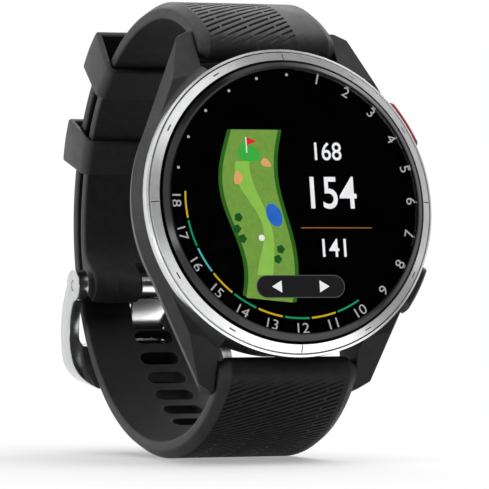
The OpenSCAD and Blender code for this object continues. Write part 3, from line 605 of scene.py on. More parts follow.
def make_lower_strap(mats):
    grooves_margin, tail_start, tail_steps, hair = 3.0, -5.0, 12, 1e-3
    path = lower_path()
    length = path_length(path)
    mesh = flat_strap(LOWER_GROOVES, length, length - grooves_margin)
    mid = loop_distance(path, TANG_SLOT_TURN)
    tools, slots = [], []
    for k in range(-SLOTS_BELOW, SLOTS_ABOVE + 1):
        size = (TANG_SLOT_W, TANG_SLOT_L, TANG_SLOT_CORNER) if k == 0 else (SLOT_W, SLOT_L, SLOT_CORNER)
        tool = slot_tool(*size, TANG_SLOT_RIM if abs(k) < 2 else SLOT_RIM)
        along = mid + k * SLOT_PITCH
        tools.append(moved(tool, Matrix.Translation((0, along, 0))))
        way = (bent(path, along, STRAP_T) - bent(path, along, 0)).normalized()
        slots.append((bent(path, along, STRAP_T / 2), way))
    mesh = cut(mesh, mesh_of("slots", *joined(tools)))
    outline = round_rect(STRAP_W + hair, length - tail_start, TAIL_CORNER, tail_steps)
    tail = prism(outline, -OVER, STRAP_T + OVER)
    tail = moved(tail, Matrix.Translation((0, (length + tail_start) / 2, 0)))
    mesh = cut(mesh, mesh_of("tail", *tail), "INTERSECT")
    finish_strap("lower_strap", mesh, path, -1, [bar_room(-1)], mats, slots)


# Buckle
def round_edges(mesh, r):
    """Rounds the edges at which faces meet at a sharp angle."""
    flat, sharp, steps = math.radians(0.2), math.radians(40), 3
    with edited(mesh) as bm:
        bmesh.ops.dissolve_limit(bm, angle_limit=flat, verts=bm.verts, edges=bm.edges)
        edges = [e for e in bm.edges if e.is_manifold and e.calc_face_angle() > sharp]
        bmesh.ops.bevel(
            bm, geom=edges, offset=r, segments=steps, profile=0.5, affect="EDGES", clamp_overlap=True)


def frame_outline():
    """Side view of the buckle's frame: a curved band that ends in an eye, as (along, outwards)."""
    steps, eye = 40, Vector((0, 0))
    out_r, in_r = BAND_R, BAND_R - BAND_T
    eye_from, eye_to = (2 * turn_of(BAND_C) - crossing(eye, EYE_R, BAND_C, r) for r in (out_r, in_r))
    out_turn, in_turn = (turn_of(EYE_R * heading(turn) - BAND_C) for turn in (eye_from, eye_to))
    outline = [BAND_C + out_r * heading(out_turn * i / steps) for i in range(steps)]
    outline += [EYE_R * heading(eye_from + (eye_to + 360 - eye_from) * i / steps) for i in range(steps)]
    outline += [BAND_C + in_r * heading(in_turn * (1 - i / steps)) for i in range(steps + 1)]
    return outline


def frame_window(inside, back):
    """Opening between the frame's arms, as (along, across); its far edge is crowned towards the pin."""
    steps, corner = 40, FRAME_CORNER / 2
    outline = [(-back, inside), (-back, -inside)]
    for i in range(steps + 1):
        x = -inside * math.cos(math.pi * i / steps)
        over = max(abs(x) - (inside - corner), 0.0)
        rounding = corner - math.sqrt(corner ** 2 - over ** 2)
        crown = WINDOW_CROWN * (1 - (x / inside) ** 2)
        outline.append((FRAME_L - FAR_BAR_W - crown - rounding, x))
    return outline


def make_buckle_frame(material):
    """Steel frame with round edges; its far bar has a notch in which the tang's end lies."""
    back, high, notch_steps, corner_steps, room_steps = 8.0, 20.0, 30, 10, 180
    pin = loop_place("buckle_frame_turn")
    along, out = heading(FRAME_TURN), heading(FRAME_TURN + 90)
    half = HALF + ARM_GAP + ARM_T

    def side_view(outline, reach):
        view = Matrix(((0, 0, 1, 0), (along.x, out.x, 0, pin.x), (along.y, out.y, 0, pin.y), (0, 0, 0, 1)))
        return mesh_of("frame", *moved(prism(outline, -reach, reach), view))

    def front_view(outline):
        view = Matrix(((0, 1, 0, 0), (along.x, 0, out.x, pin.x), (along.y, 0, out.y, pin.y), (0, 0, 0, 1)))
        return mesh_of("frame", *moved(prism(outline, -high, high), view))

    notch_from, notch_to = FRAME_L / 2, FRAME_L + OVER
    notch = [(notch_to, high), (notch_from, high)]
    for i in range(notch_steps + 1):
        u = notch_from + (notch_to - notch_from) * i / notch_steps
        notch.append((u, TANG_C.y + math.sqrt(NOTCH_R ** 2 - (u - TANG_C.x) ** 2)))
    loop = Vector((-lower_centre().x, lower_centre().y))
    rim = round_rect(FRAME_L + back, 2 * half, FRAME_CORNER, corner_steps)
    strap_room = rod(LOWER_OUT_R + FAR_BAR_GAP, (STRAP_W + ARM_GAP) / 2, loop, room_steps)
    mesh = side_view(frame_outline(), half)
    mesh = cut(mesh, front_view([(u + (FRAME_L - back) / 2, x) for u, x in rim]), "INTERSECT")
    mesh = cut(mesh, front_view(frame_window(half - ARM_T, back)))
    mesh = cut(mesh, side_view(notch, NOTCH_HALF))
    mesh = cut(mesh, mesh_of("pin_room", *rod(PIN_ROOM_R, 2 * half, pin)))
    mesh = cut(mesh, mesh_of("strap_room", *strap_room))
    round_edges(mesh, FRAME_ROUND)
    mesh.transform(WATCH)
    tidy(mesh)
    made = piece("buckle_frame_steel", mesh, "buckle_frame", material)
    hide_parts("buckle_frame")


# Keepers
def make_keeper(node, material):
    """Moulded band round both layers of the strap, with round edges and a slight crown."""
    inner_fillet, outer_fillet, crease = 1.3, 0.45, 50
    angle, wide, room = KEEPER_SIZES[node]
    centre = loop_place(node + "_slip")
    shift = (lower_centre() - Vector((-centre.x, centre.y))).length
    half = HALF + KEEPER_GAP + KEEPER_T
    in_r = LOOP_R - KEEPER_GAP - KEEPER_T
    out_r = LOWER_OUT_R + shift + KEEPER_GAP + room + KEEPER_T
    middle = Vector((0, (in_r + out_r) / 2))
    right = [(half, in_r, inner_fillet), (half, out_r, outer_fillet)]
    loop = filleted(right + [(-x, y, r) for x, y, r in reversed(right)])
    section = keeper_section(wide)
    points = []
    for i, place in enumerate(loop):
        run = (loop[(i + 1) % len(loop)] - loop[i - 1]).normalized()
        out = Vector((run.y, -run.x))
        if out.dot(place - middle) < 0:
            out = -out
        for along, depth in section:
            spot = place - depth * out
            x = max(depth - half, min(half - depth, spot.x))
            r = max(in_r + depth, min(out_r - depth, spot.y))
            spot = centre + r * heading(angle - 90 + math.degrees(along / out_r))
            points.append((x, spot.x, spot.y))
    faces = skin(len(section), len(loop), open_ends=False)
    mesh = mesh_of(node, *moved((points, faces), WATCH))
    keeper = piece(node + "_band", mesh, node, material, crease)
    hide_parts(node)


def keeper_section(wide):
    """Section of a keeper's wall as (distance along the strap, depth): round edges, crowned outside."""
    edge, crown, steps = 0.32, 0.06, 8
    rim = filleted([(x, y + KEEPER_T / 2, edge) for x, y in rectangle(wide, KEEPER_T)])
    outline = []
    for k, corner in enumerate(rim):
        sunk = crown * (2 * corner.x / wide) ** 2 if corner.y < KEEPER_T / 2 else 0.0
        outline.append((corner.x, corner.y + sunk))
        if k == FILLET_STEPS:
            for i in range(1, steps):
                x = (wide / 2 - edge) * (2 * i / steps - 1)
                outline.append((x, crown * (2 * x / wide) ** 2))
    return outline


# Looks, which are materials or the world under construction
def surface(name, color, roughness, metallic=0.0, specular=0.5):
    look = bpy.data.materials.new(name)
    look.use_nodes = True
    dress(look, {"Base Color": (*color, 1), "Roughness": roughness})
    dress(look, {"Metallic": metallic, "Specular IOR Level": specular})
    return look


def shader_of(look):
    return look.node_tree.nodes["Principled BSDF"]


def dress(look, inputs):
    feed(look, shader_of(look), inputs)


def feed(look, node, inputs):
    """Gives inputs of a node plain values or the outputs of other nodes."""
    for key, value in inputs.items():
        if isinstance(value, bpy.types.NodeSocket):
            look.node_tree.links.new(value, node.inputs[key])
        else:
            node.inputs[key].default_value = value


def add(look, kind, inputs=None, **settings):
    """Outputs of a new node."""
    node = look.node_tree.nodes.new("ShaderNode" + kind)
    for key, value in settings.items():
        setattr(node, key, value)
    feed(look, node, inputs or {})
    return node.outputs


def object_place(look):
    """Object coordinates turned to the watch's axes."""
    place = add(look, "TexCoord")["Object"]
    inputs = {"Vector": place, "Rotation": (LEAN - math.pi / 2, 0, 0)}
    return add(look, "Mapping", inputs, vector_type="POINT")["Vector"]


def noise(look, place, scale, detail=3.0, roughness=0.55):
    inputs = {"Vector": place, "Scale": scale, "Detail": detail, "Roughness": roughness}
    return add(look, "TexNoise", inputs)["Fac"]


def spread(look, value, low, high, start=NOISE_LOW, end=NOISE_HIGH, interpolation="LINEAR"):
    """A value, as a rule a noise, stretched over a range."""
    inputs = {"Value": value, "From Min": start, "From Max": end, "To Min": low, "To Max": high}
    return add(look, "MapRange", inputs, interpolation_type=interpolation)["Result"]


def toned(color, share):
    return tuple(min(c * share, 1.0) for c in color)


def tint(look, value, dark, light):
    """Colour between two tones by a noise."""
    ramp = look.node_tree.nodes.new("ShaderNodeValToRGB")
    feed(look, ramp, {"Fac": value})
    for element, position, tone in zip(ramp.color_ramp.elements, (NOISE_LOW, NOISE_HIGH), (dark, light)):
        element.position = position
        element.color = (*tone, 1)
    return ramp.outputs["Color"]


def relief(look, value, depth, strength=1.0, soft_edge=None):
    """Bump of a depth in metres, over edges softened by a radius in metres."""
    inputs = {"Distance": depth, "Strength": strength, "Height": value}
    if soft_edge:
        inputs["Normal"] = add(look, "Bevel", {"Radius": soft_edge}, samples=6)["Normal"]
    dress(look, {"Normal": add(look, "Bump", inputs)["Normal"]})


def grained(name, color, roughness, grain, depth, vary=0.18, metallic=0.0, specular=0.5, soft_edge=None):
    """Moulded or worked surface: mottled tone, uneven gloss and a fine grain, all at real scales."""
    mottle_size, wear_size, uneven = 6, 20, 0.12
    look = surface(name, color, roughness, metallic, specular)
    place = object_place(look)
    mottle = noise(look, place, grain / mottle_size, 4.0)
    wear = noise(look, place, grain / wear_size, 5.0)
    tone = tint(look, mottle, toned(color, 1 - vary), toned(color, 1 + vary))
    gloss = spread(look, wear, roughness * (1 - uneven), min(roughness * (1 + uneven), 1))
    dress(look, {"Base Color": tone, "Roughness": gloss})
    relief(look, noise(look, place, grain, 2.0), depth, 1.0, soft_edge)
    return look


def brushed(name, color, roughness, soft_edge):
    """Steel brushed round the dial: fine rings, uneven gloss and a tangent that runs round."""
    anisotropy, ring_scale, ring_depth, ring_strength, mottle_scale = 0.4, 26000, 2.0e-6, 0.5, 500
    darker, lighter, glossier, rougher = 0.95, 1.04, 0.95, 1.06
    look = surface(name, color, roughness, 1.0)
    place = object_place(look)
    split = add(look, "SeparateXYZ", {"Vector": place})
    flat = add(look, "CombineXYZ", {"X": split["X"], "Y": split["Y"]})
    radius = add(look, "VectorMath", {0: flat["Vector"]}, operation="LENGTH")
    rings = add(look, "CombineXYZ", {"X": radius["Value"], "Y": split["Z"]})
    lines = noise(look, rings["Vector"], ring_scale, 2.0, 0.7)
    mottle = noise(look, place, mottle_scale, 4.0)
    tone = tint(look, mottle, toned(color, darker), toned(color, lighter))
    gloss = spread(look, mottle, roughness * glossier, roughness * rougher)
    tangent = add(look, "Tangent", direction_type="RADIAL", axis="Y")
    dress(look, {"Base Color": tone, "Roughness": gloss})
    dress(look, {"Anisotropic": anisotropy, "Tangent": tangent["Tangent"]})
    relief(look, lines, ring_depth, ring_strength, soft_edge)
    return look


def glowing(name, color, other=None, scale=900):
    """Lit part of the display, or print that glows as painted light, with a slight unevenness of its own."""
    roughness, fall = 0.6, 0.9
    look = surface(name, (0.0, 0.0, 0.0), roughness, 0.0, 0.0)
    value = noise(look, object_place(look), scale)
    other = other or toned(color, fall)
    dress(look, {"Emission Color": tint(look, value, other, color), "Emission Strength": 1.0})
    return look


def glass(name):
    index, smear_scale, smear = 1.45, 300, 0.008
    look = surface(name, (1.0, 1.0, 1.0), 0.0)
    value = noise(look, object_place(look), smear_scale)
    gloss = spread(look, value, 0.0, smear)
    dress(look, {"Transmission Weight": 1.0, "IOR": index, "Roughness": gloss})
    return look


def make_materials():
    """All materials; rows give colour, roughness, grain, depth, variation, metallic, specular, soft edge."""
    rows = {
        "strap_silicone": ((0.05, 0.05, 0.051), 0.52, 5200, 6e-6, 0.12, 0.0, 0.14, 0.00018),
        # Darker copy of the strap's silicone for the wrist side and the slot walls: painted shade
        "strap_painted_shade": ((0.024, 0.024, 0.0245), 0.5, 5200, 6e-6, 0.12, 0.0, 0.14, 0.00018),
        # Lighter copy of the strap's silicone for the keepers: painted light
        "keeper_silicone": ((0.062, 0.062, 0.063), 0.5, 5200, 6e-6, 0.12, 0.0, 0.16, 0.00018),
        "case_polymer": ((0.045, 0.045, 0.046), 0.45, 4200, 7e-6, 0.12, 0.0, 0.16, 0.0002),
        "seal_rubber": ((0.02, 0.02, 0.02), 0.6, 3000, 5e-6),
        "display_black": ((0.002, 0.002, 0.0022), 0.5, 2000, 1e-6, 0.1, 0.0, 0.0),
        "lens_black": ((0.003, 0.003, 0.003), 0.18, 900, 2e-7, 0.1),
        "flex_film": ((0.42, 0.22, 0.06), 0.4, 2500, 4e-6),
        "antenna_metal": ((0.7, 0.52, 0.22), 0.3, 3000, 3e-6, 0.1, 1.0),
        "frame_polymer": ((0.06, 0.06, 0.065), 0.5, 3000, 8e-6),
        "board_green": ((0.01, 0.09, 0.03), 0.35, 1800, 5e-6, 0.3),
        "chip_black": ((0.015, 0.015, 0.016), 0.55, 5000, 5e-6),
        "battery_foil": ((0.55, 0.56, 0.57), 0.32, 900, 2e-5, 0.1, 1.0),
        "motor_steel": ((0.55, 0.55, 0.56), 0.3, 2500, 3e-6, 0.1, 1.0),
        "switch_white": ((0.75, 0.74, 0.7), 0.45, 3000, 5e-6, 0.05),
        "cover_polymer": ((0.028, 0.028, 0.029), 0.42, 4200, 6e-6, 0.12, 0.0, 0.4, 0.0002),
        "bar_steel": ((0.6, 0.6, 0.61), 0.28, 3000, 3e-6, 0.1, 1.0, 0.5, 0.00005),
        "socket_black": ((0.012, 0.012, 0.012), 0.4, 4000, 4e-6),
        "contact_gold": ((0.83, 0.6, 0.24), 0.25, 3000, 2e-6, 0.08, 1.0, 0.5, 0.0001),
        "button_black": ((0.03, 0.03, 0.031), 0.45, 4200, 6e-6, 0.12, 0.0, 0.4, 0.00018),
        "button_red": ((0.42, 0.02, 0.018), 0.38, 4200, 4e-6, 0.12, 0.0, 0.5, 0.00018),
        "buckle_steel": ((0.6, 0.605, 0.61), 0.18, 1600, 2e-6, 0.04, 1.0, 0.5, 0.00025),
    }
    mats = {name: grained(name, *row) for name, row in rows.items()}
    mats["bezel_steel"] = brushed("bezel_steel", (0.74, 0.745, 0.75), 0.24, 0.00005)
    mats["lens_glass"] = glass("lens_glass")
    # The printed ring glows though it is no lamp: painted light
    mats["print_grey_glow"] = glowing("print_grey_glow", (0.42, 0.43, 0.44))
    mats["figure_white"] = glowing("figure_white", (0.93, 0.94, 0.95))
    return mats


def dress_nodes(mats):
    """Gives every CAD node that shows the material of its record slot."""
    for part in RECORD["subparts"]:
        obj = frame["nodes"][part["node"]]
        material = mats[part["material_slot"]]
        if not obj.material_slots:
            obj.data.materials.append(material)
        for slot in obj.material_slots:
            slot.material = material


# Bezel's engraved marks
def make_marks(material):
    """Dark fill in the bezel's hour marks, a hair below its face."""
    glass_r, chamfer, fall, face_l = 18.6, 0.25, 0.55, 1.05
    mark_w, mark_l, depth, sunk, hair = 0.16, 0.96, 0.12, 0.02, 0.005
    tilt = Matrix.Rotation(math.atan(fall / face_l), 4, "Y")
    out = Matrix.Translation((glass_r + chamfer + face_l / 2, 0, CASE_H - fall / 2))
    parts = []
    for hour in range(12):
        length, wide = (face_l, mark_w) if hour % 3 == 0 else (mark_w, mark_l)
        box = prism(rectangle(length - 2 * hair, wide - 2 * hair), hair - depth, -sunk)
        parts.append(moved(box, Matrix.Rotation(math.radians(30 * hour), 4, "Z") @ out @ tilt))
    case_piece("bezel_mark_fill", parts, material)


# Lens
def revolved(name, section, material, closed=False):
    """Round piece of the case from a section of (radius, height) points."""
    around, crease = 160, 40
    points = [(*(r * heading(360 * j / around)), z) for j in range(around) for r, z in section]
    faces = skin(len(section), around, not closed, False)
    return case_piece(name, [(points, faces)], material, crease)


def make_lens(mats):
    """Clear disc with a black round rim, over a black block that carries the printed ring and the picture."""
    wall, flat_r, foot, slope, bend_r, steps = 0.4, 17.45, 9.76, 40.0, 0.7, 8
    disc_r, block_r, side = flat_r - 0.01, flat_r - 0.05, LENS_R - 0.02
    disc = [(0.0, LENS_TOP), (disc_r, LENS_TOP), (disc_r, LENS_TOP - wall), (0.0, LENS_TOP - wall)]
    lens = revolved("lens_disc", disc, mats["lens_glass"])
    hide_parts("lens")
    rim = [(flat_r, LENS_TOP - wall), (flat_r, LENS_TOP)]
    for i in range(1, steps + 1):
        a = math.radians(slope * i / steps)
        rim.append((flat_r + bend_r * math.sin(a), LENS_TOP - bend_r * (1 - math.cos(a))))
    fall = (side - rim[-1][0]) * math.tan(math.radians(slope))
    rim += [(side, rim[-1][1] - fall), (side, foot), (flat_r, foot)]
    revolved("lens_rim", rim, mats["lens_black"], True)
    block = [(0.0, foot), (block_r, foot), (block_r, BLOCK_TOP), (0.0, BLOCK_TOP)]
    revolved("display_block", block, mats["display_black"])


# Display picture, all drawn flat and then laid on the display in thin layers
LAYER = 0.012
LAYER_T = 0.7 * LAYER
PICTURE_GAP = 0.006


def layer_z(level):
    """Lower and upper height of a layer."""
    low = BLOCK_TOP + PICTURE_GAP + level * LAYER
    return low, low + LAYER_T


def laid(name, outlines, level, material):
    """Flat thin shapes of one colour, as one piece on the display."""
    case_piece(name, [prism(outline, *layer_z(level)) for outline in outlines], material)


def ring_band(r_in, r_out, a0, a1, steps):
    """Outline of a stretch of ring; angles run clockwise from 12 o'clock."""
    angles = [90 - (a0 + (a1 - a0) * i / steps) for i in range(steps + 1)]
    return [tuple(r_out * heading(a)) for a in angles] + [tuple(r_in * heading(a)) for a in reversed(angles)]


def figures(name, items, level, material, weight=0.0):
    """Plain numbers; each item is (text, x, y, height, clockwise turn, widening)."""
    z0, z1 = layer_z(level)
    parts = []
    for text, x, y, height, turn, wide in items:
        curve = bpy.data.curves.new(name, "FONT")
        curve.body = text
        curve.offset = weight
        curve.extrude = LAYER
        maker = link(name + "_maker", curve)
        mesh = baked(maker)
        bpy.data.objects.remove(maker)
        places = [v.co for v in mesh.vertices]
        low, high = (Vector([end(p[axis] for p in places) for axis in range(3)]) for end in (min, max))
        scale = height / (high.y - low.y)
        centre = Matrix.Translation((-(low.x + high.x) / 2, -(low.y + high.y) / 2, -low.z))
        size = Matrix.Diagonal((scale * wide, scale, (z1 - z0) / (high.z - low.z), 1))
        place = Matrix.Translation((x, y, z0)) @ Matrix.Rotation(-math.radians(turn), 4, "Z")
        faces = [tuple(p.vertices) for p in mesh.polygons]
        parts.append(moved((places, faces), place @ size @ centre))
    case_piece(name, parts, material)


def make_number_ring(grey):
    """Printed ring under the lens: plain numbers and, past the last one, dots; the print glows, painted
    light.
    """
    ring_r, height, widening, dot_r, dot_steps = 16.75, 1.3, 1.15, 0.2, 16
    places, count, last_outward, level = 24, 18, 6, 2
    items, dots = [], []
    for n in range(1, places + 1):
        turn = 360 * n / places
        x, y = ring_r * heading(90 - turn)
        if n <= count:
            items.append((str(n), x, y, height, turn if n <= last_outward else turn + 180, widening))
        else:
            dots.append([(x + px, y + py) for px, py in circle(dot_r, dot_steps)])
    figures("number_ring", items, level, grey)
    laid("number_dots", dots, level, grey)


def make_progress_ring():
    """Coloured arcs inside the number ring, one to each hole of half a round."""
    r_in, r_out, first, step, gap, steps, level = 15.35, 15.6, 148.0, 14.2, 1.2, 14, 2
    tones = {"green": (0.01, 0.3, 0.12), "amber": (0.62, 0.42, 0.02), "teal": (0.08, 0.5, 0.5)}
    order = ["green", "amber", "green", "amber", "green", "amber", "teal", "green", "amber"]
    for name, tone in tones.items():
        starts = [first + k * step for k, other in enumerate(order) if other == name]
        arcs = [ring_band(r_in, r_out, start, start + step - gap, steps) for start in starts]
        laid("arcs_" + name, arcs, level, glowing("arc_" + name, tone))


def blob(x, y, rx, ry, wobble=0.12, turn=0.0, steps=40, lobes=3, phase=0.0):
    """Soft closed outline: an ellipse whose radius swells a little."""
    outline = []
    for i in range(steps):
        a = 360 * i / steps
        p = (1 + wobble * heading(lobes * a + phase).x) * heading(a)
        p = Matrix.Rotation(math.radians(turn), 2) @ Vector((rx * p.x, ry * p.y))
        outline.append((x + p.x, y + p.y))
    return outline


def ribbon(mid, width, y0, y1, steps=40):
    """Outline of an upright band round a middle line x = mid(y) of width(y)."""
    ys = [y0 + (y1 - y0) * i / steps for i in range(steps + 1)]
    left = [(mid(y) - width(y) / 2, y) for y in ys]
    right = [(mid(y) + width(y) / 2, y) for y in reversed(ys)]
    return left + right


def clipped(outline, r):
    """Outline with its points kept inside a circle."""
    shares = [max(1.0, math.hypot(x, y) / r) for x, y in outline]
    return [(x / share, y / share) for (x, y), share in zip(outline, shares)]


def make_picture(white):
    """Own picture of a golf hole beside plain numbers."""
    edge_r, low, high, border = 14.9, -13.4, 9.4, 1.1
    fairway_low, fairway_high = -9.8, 5.2
    pole_left, pole_right, pole_low, pole_high = -6.5, -6.35, 6.3, 8.4
    weight, small_h, small_wide = 0.008, 2.4, 0.9

    def middle(y):
        return -5.2 - 1.2 * math.sin((y + 3.0) * 0.26)

    def edge(y):
        return 8.2 + 0.5 * math.cos(y * 0.3)

    def rough(y):
        return edge(y) - border

    def way(y):
        return middle(y) - 0.9 * math.sin((y - 1.0) * 0.42)

    def fairway(y):
        return 1.7 + 0.5 * math.sin(y * 0.5)

    trees = [(-8.2, -2.2), (-8.5, -3.7), (-7.8, -5.0), (-2.5, -6.4), (-3.0, -7.7)]
    trees = [blob(x, y, 0.55, 0.55, 0.1, 0, 30, 5) for x, y in trees]
    traps = [blob(-3.8, 5.0, 0.75, 0.5, 0.14, -30), blob(-7.9, 3.0, 0.6, 0.85, 0.12, -10)]
    putting_green = blob(-6.2, 6.3, 1.6, 1.15, 0.1, -20)
    pond = blob(-3.1, -1.9, 0.95, 1.7, 0.13, 12, 40, 2, 40)
    ball = blob(-5.1, -4.9, 0.42, 0.42, 0.0)
    pole = [(pole_left, pole_low), (pole_right, pole_low), (pole_right, pole_high), (pole_left, pole_high)]
    cloth = [(pole_right, pole_high), (pole_right, 7.3), (-4.9, 7.85)]
    divider = [(0.6, -3.62), (10.8, -3.62), (10.8, -3.5), (0.6, -3.5)]
    for name, outlines, level, glow in (
            ("map_edge", [ribbon(middle, edge, low, high)], 0, ("rough_edge", (0.03, 0.13, 0.015))),
            ("map_rough", [ribbon(middle, rough, low, high)], 1,
             ("rough", (0.19, 0.36, 0.065), (0.16, 0.31, 0.05), 1400)),
            ("map_fairway", [ribbon(way, fairway, fairway_low, fairway_high)], 2,
             ("fairway", (0.28, 0.56, 0.09), (0.25, 0.5, 0.075), 700)),
            ("map_green", [putting_green], 3, ("putting_green", (0.05, 0.45, 0.06))),
            ("map_sand", traps, 3, ("sand", (0.8, 0.42, 0.16), (0.72, 0.36, 0.13), 1500)),
            ("map_pond", [pond], 3, ("pond", (0.03, 0.16, 0.6), (0.02, 0.12, 0.5), 600)),
            ("map_trees", trees, 3, ("tree", (0.015, 0.11, 0.02), (0.01, 0.07, 0.012), 2500)),
            ("flag_pole", [pole, ball], 4, None),
            ("flag_cloth", [cloth], 4, ("flag_red", (0.75, 0.03, 0.03))),
            ("divider", [divider], 2, ("divider_amber", (0.35, 0.16, 0.03)))):
        look = glowing(*glow) if glow else white
        laid(name, [clipped(outline, edge_r) for outline in outlines], level, look)
    figures("distance_large", [("154", 5.6, 1.1, 4.3, 0, 0.86)], 2, white, weight)
    small = [(text, 5.2, y, small_h, 0, small_wide) for text, y in (("168", 6.6), ("141", -6.2))]
    figures("distance_small", small, 2, white, weight)


def make_arrow_bar(white):
    """Dark rounded bar with an arrow to each side."""
    bar_y, width, height, rim, hair, steps = -11.3, 12.6, 3.0, 0.1, 0.01, 10
    tip, base, half = 4.1, 2.7, 0.8
    bands = [("bar_rim", 0.0, (0.1, 0.1, 0.1)), ("bar_face", rim, (0.016, 0.016, 0.017))]
    for level, (name, inset, tone) in enumerate(bands, 4):
        wide, high = width - 2 * inset, height - 2 * inset
        outline = [(x, y + bar_y) for x, y in round_rect(wide, high, high / 2 - hair, steps)]
        laid(name, [outline], level, glowing(name, tone))
    arrows = [[(way * tip, bar_y), (way * base, bar_y + half), (way * base, bar_y - half)] for way in (-1, 1)]
    laid("bar_arrows", arrows, 6, white)


# Light, floor and camera
def light_path_share(look):
    """1 for rays of the camera, of reflections and of refractions, 0 for the rest."""
    path = add(look, "LightPath")
    share = path["Is Camera Ray"]
    for kind in ("Is Glossy Ray", "Is Transmission Ray"):
        share = add(look, "Math", {0: share, 1: path[kind]}, operation="MAXIMUM")["Value"]
    return share


def make_world():
    """White to look at, dim as a light."""
    seen, lighting = 1.0, 0.08
    world = bpy.data.worlds.new("studio")
    world.use_nodes = True
    bpy.context.scene.world = world
    strength = spread(world, light_path_share(world), lighting, seen, 0.0, 1.0)
    feed(world, world.node_tree.nodes["Background"], {"Color": (1, 1, 1, 1), "Strength": strength})


def make_floor():
    """White floor that keeps the shadow near the watch, glows further off and throws little light back."""
    near, far, least, size, level = 0.02, 0.095, 0.3, 8.0, CAD_BOX[0][2]
    dark, light, dim, grain_scale = (0.925,) * 3, (0.935,) * 3, (0.2, 0.2, 0.2, 1), 400
    mesh = mesh_of("floor", [(x, y, level) for x, y in rectangle(size, size)], [(0, 1, 2, 3)])
    look = surface("floor", light, 0.9, 0.0, 0.0)
    place = add(look, "TexCoord")["Object"]
    dress(look, {"Base Color": tint(look, noise(look, place, grain_scale), dark, light)})
    distance = add(look, "VectorMath", {0: place}, operation="LENGTH")["Value"]
    fade = spread(look, distance, least, 1.0, near, far, "SMOOTHSTEP")
    share = add(look, "Math", {0: fade, 1: light_path_share(look)}, operation="MULTIPLY")["Value"]
    bounced = add(look, "LightPath")["Is Diffuse Ray"]
    white, grey = shader_of(look).outputs["BSDF"], add(look, "BsdfDiffuse", {"Color": dim})["BSDF"]
    shade = add(look, "MixShader", {"Fac": bounced, 1: white, 2: grey})["Shader"]
    glow = add(look, "Emission")["Emission"]
    mix = add(look, "MixShader", {"Fac": share, 1: shade, 2: glow})["Shader"]
    feed(look, look.node_tree.nodes["Material Output"], {"Surface": mix})
    floor = link("floor", mesh)
    mesh.materials.append(look)
    return floor


def facing(place, target):
    """Matrix of a lamp or card at a place, with its -Z axis towards a target."""
    turn = (Vector(target) - Vector(place)).to_track_quat("-Z", "Y")
    return Matrix.LocRotScale(Vector(place), turn, None)


def make_lamp(name, place, target, width, height, power):
    lamp = bpy.data.lights.new(name, "AREA")
    lamp.shape = "RECTANGLE"
    lamp.size = width
    lamp.size_y = height
    lamp.energy = power
    obj = link(name, lamp)
    obj.matrix_world = facing(place, target)
    obj.visible_glossy = False
    return obj


def limit_lamp(lamp, obj, state):
    """Lets a lamp light one object alone, or all but that one."""
    lit = bpy.data.collections.new(lamp.name + "_lit")
    lit.objects.link(obj)
    lit.collection_objects[0].light_linking.link_state = state
    lamp.light_linking.receiver_collection = lit


def make_tang_lamp():
    """Small lamp inside the loop that only the tang reflects."""
    way, reach, size, power = Vector((0.405, -0.8, -0.44)), 0.02, 0.016, 0.0011
    low, high = (Vector(corner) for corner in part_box("buckle_tang"))
    tang = (low + high) / 2
    lamp = make_lamp("tang_box", tang + reach * way, tang, size, size, power)
    lamp.visible_glossy = True
    lamp.visible_camera = False
    limit_lamp(lamp, frame["nodes"]["buckle_tang"], "INCLUDE")


def make_card(name, place, target, width, height, tone):
    """Studio card that only reflections see."""
    mesh = mesh_of(name, [(x, y, 0) for x, y in rectangle(width, height)], [(0, 1, 2, 3)])
    look = surface(name, (0, 0, 0), 1.0, 0.0, 0.0)
    dress(look, {"Emission Color": (tone, tone, tone, 1), "Emission Strength": 1.0})
    card = link(name, mesh)
    mesh.materials.append(look)
    card.matrix_world = facing(place, target)
    card.visible_camera = card.visible_diffuse = card.visible_shadow = False


def make_lights():
    ground = (0, 0, 0)
    make_world()
    floor = make_floor()
    make_lamp("top_box", (0.2, -0.12, 0.8), ground, 0.9, 1.0, 8.0)
    make_lamp("back_box", (0.4, 0.6, 0.6), ground, 0.8, 0.5, 4.5)
    left_box = make_lamp("left_box", (-0.75, 0.15, 0.12), DIAL, 0.4, 0.4, 6.0)
    limit_lamp(left_box, floor, "EXCLUDE")
    make_tang_lamp()
    make_cards()


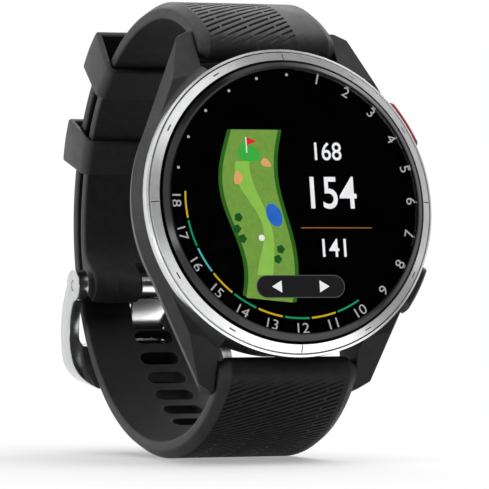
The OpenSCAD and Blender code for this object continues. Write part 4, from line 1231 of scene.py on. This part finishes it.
def make_cards():
    """Cards round the dial, as (name, way, distance, width, height, tone), and two that lie on the floor."""
    for name, way, far, width, height, tone in (
            ("front_flag", (0.25, -0.92, 0.29), 0.5, 0.9, 0.42, 0.0),
            ("left_card", (-0.514, -0.81, 0.283), 0.4, 0.24, 0.26, 0.35),
            ("right_card", (0.96, -0.2, 0.2), 0.7, 0.6, 0.7, 0.6),
            ("over_card", (0.45, -0.25, 0.85), 0.6, 0.4, 0.4, 0.35),
            ("top_card", (-0.18, -0.54, 0.82), 0.6, 0.4, 0.3, 1.15),
            ("back_card", (0.4, 0.65, 0.65), 0.8, 0.9, 0.5, 3.0),
            ("over_flag", (-0.36, 0.0, 0.93), 0.7, 0.4, 0.5, 0.1),
            ("rim_card", (-0.88, -0.46, -0.1), 0.2, 0.1, 0.036, 5.0),
            ("low_card", (0.05, -0.02, -0.024), 1.0, 0.03, 0.024, 0.35)):
        make_card(name, DIAL + far * Vector(way), DIAL, width, height, tone)
    lift = 0.0004
    low = CAD_BOX[0][2] + lift
    for name, x, y, width, depth, tone in (
            ("floor_card", 0.01, -0.034, 0.046, 0.024, 1.8),
            ("rim_floor_card", -0.03, -0.036, 0.032, 0.03, 1.3)):
        make_card(name, (x, y, low), (x, y, low + 1), width, depth, tone)


def make_camera():
    turn = Matrix.Rotation(-CAMERA_AZIMUTH, 4, "Z")
    data = bpy.data.cameras.new("camera")
    data.lens = CAMERA_LENS
    camera = link("camera", data)
    camera.location = DIAL + turn @ Vector((-CAMERA_LEFT, -CAMERA_DISTANCE, -CAMERA_DOWN))
    camera.rotation_euler = (math.pi / 2, 0, -CAMERA_AZIMUTH)
    bpy.context.scene.camera = camera


def main():
    bpy.context.scene.view_settings.view_transform = "Standard"
    make_camera()
    mats = make_materials()
    dress_nodes(mats)
    make_upper_strap(mats)
    make_lower_strap(mats)
    for node in KEEPER_SIZES:
        make_keeper(node, mats["keeper_silicone"])
    make_buckle_frame(mats["buckle_steel"])
    make_marks(mats["seal_rubber"])
    make_lens(mats)
    make_number_ring(mats["print_grey_glow"])
    make_progress_ring()
    make_picture(mats["figure_white"])
    make_arrow_bar(mats["figure_white"])
    make_lights()


main()
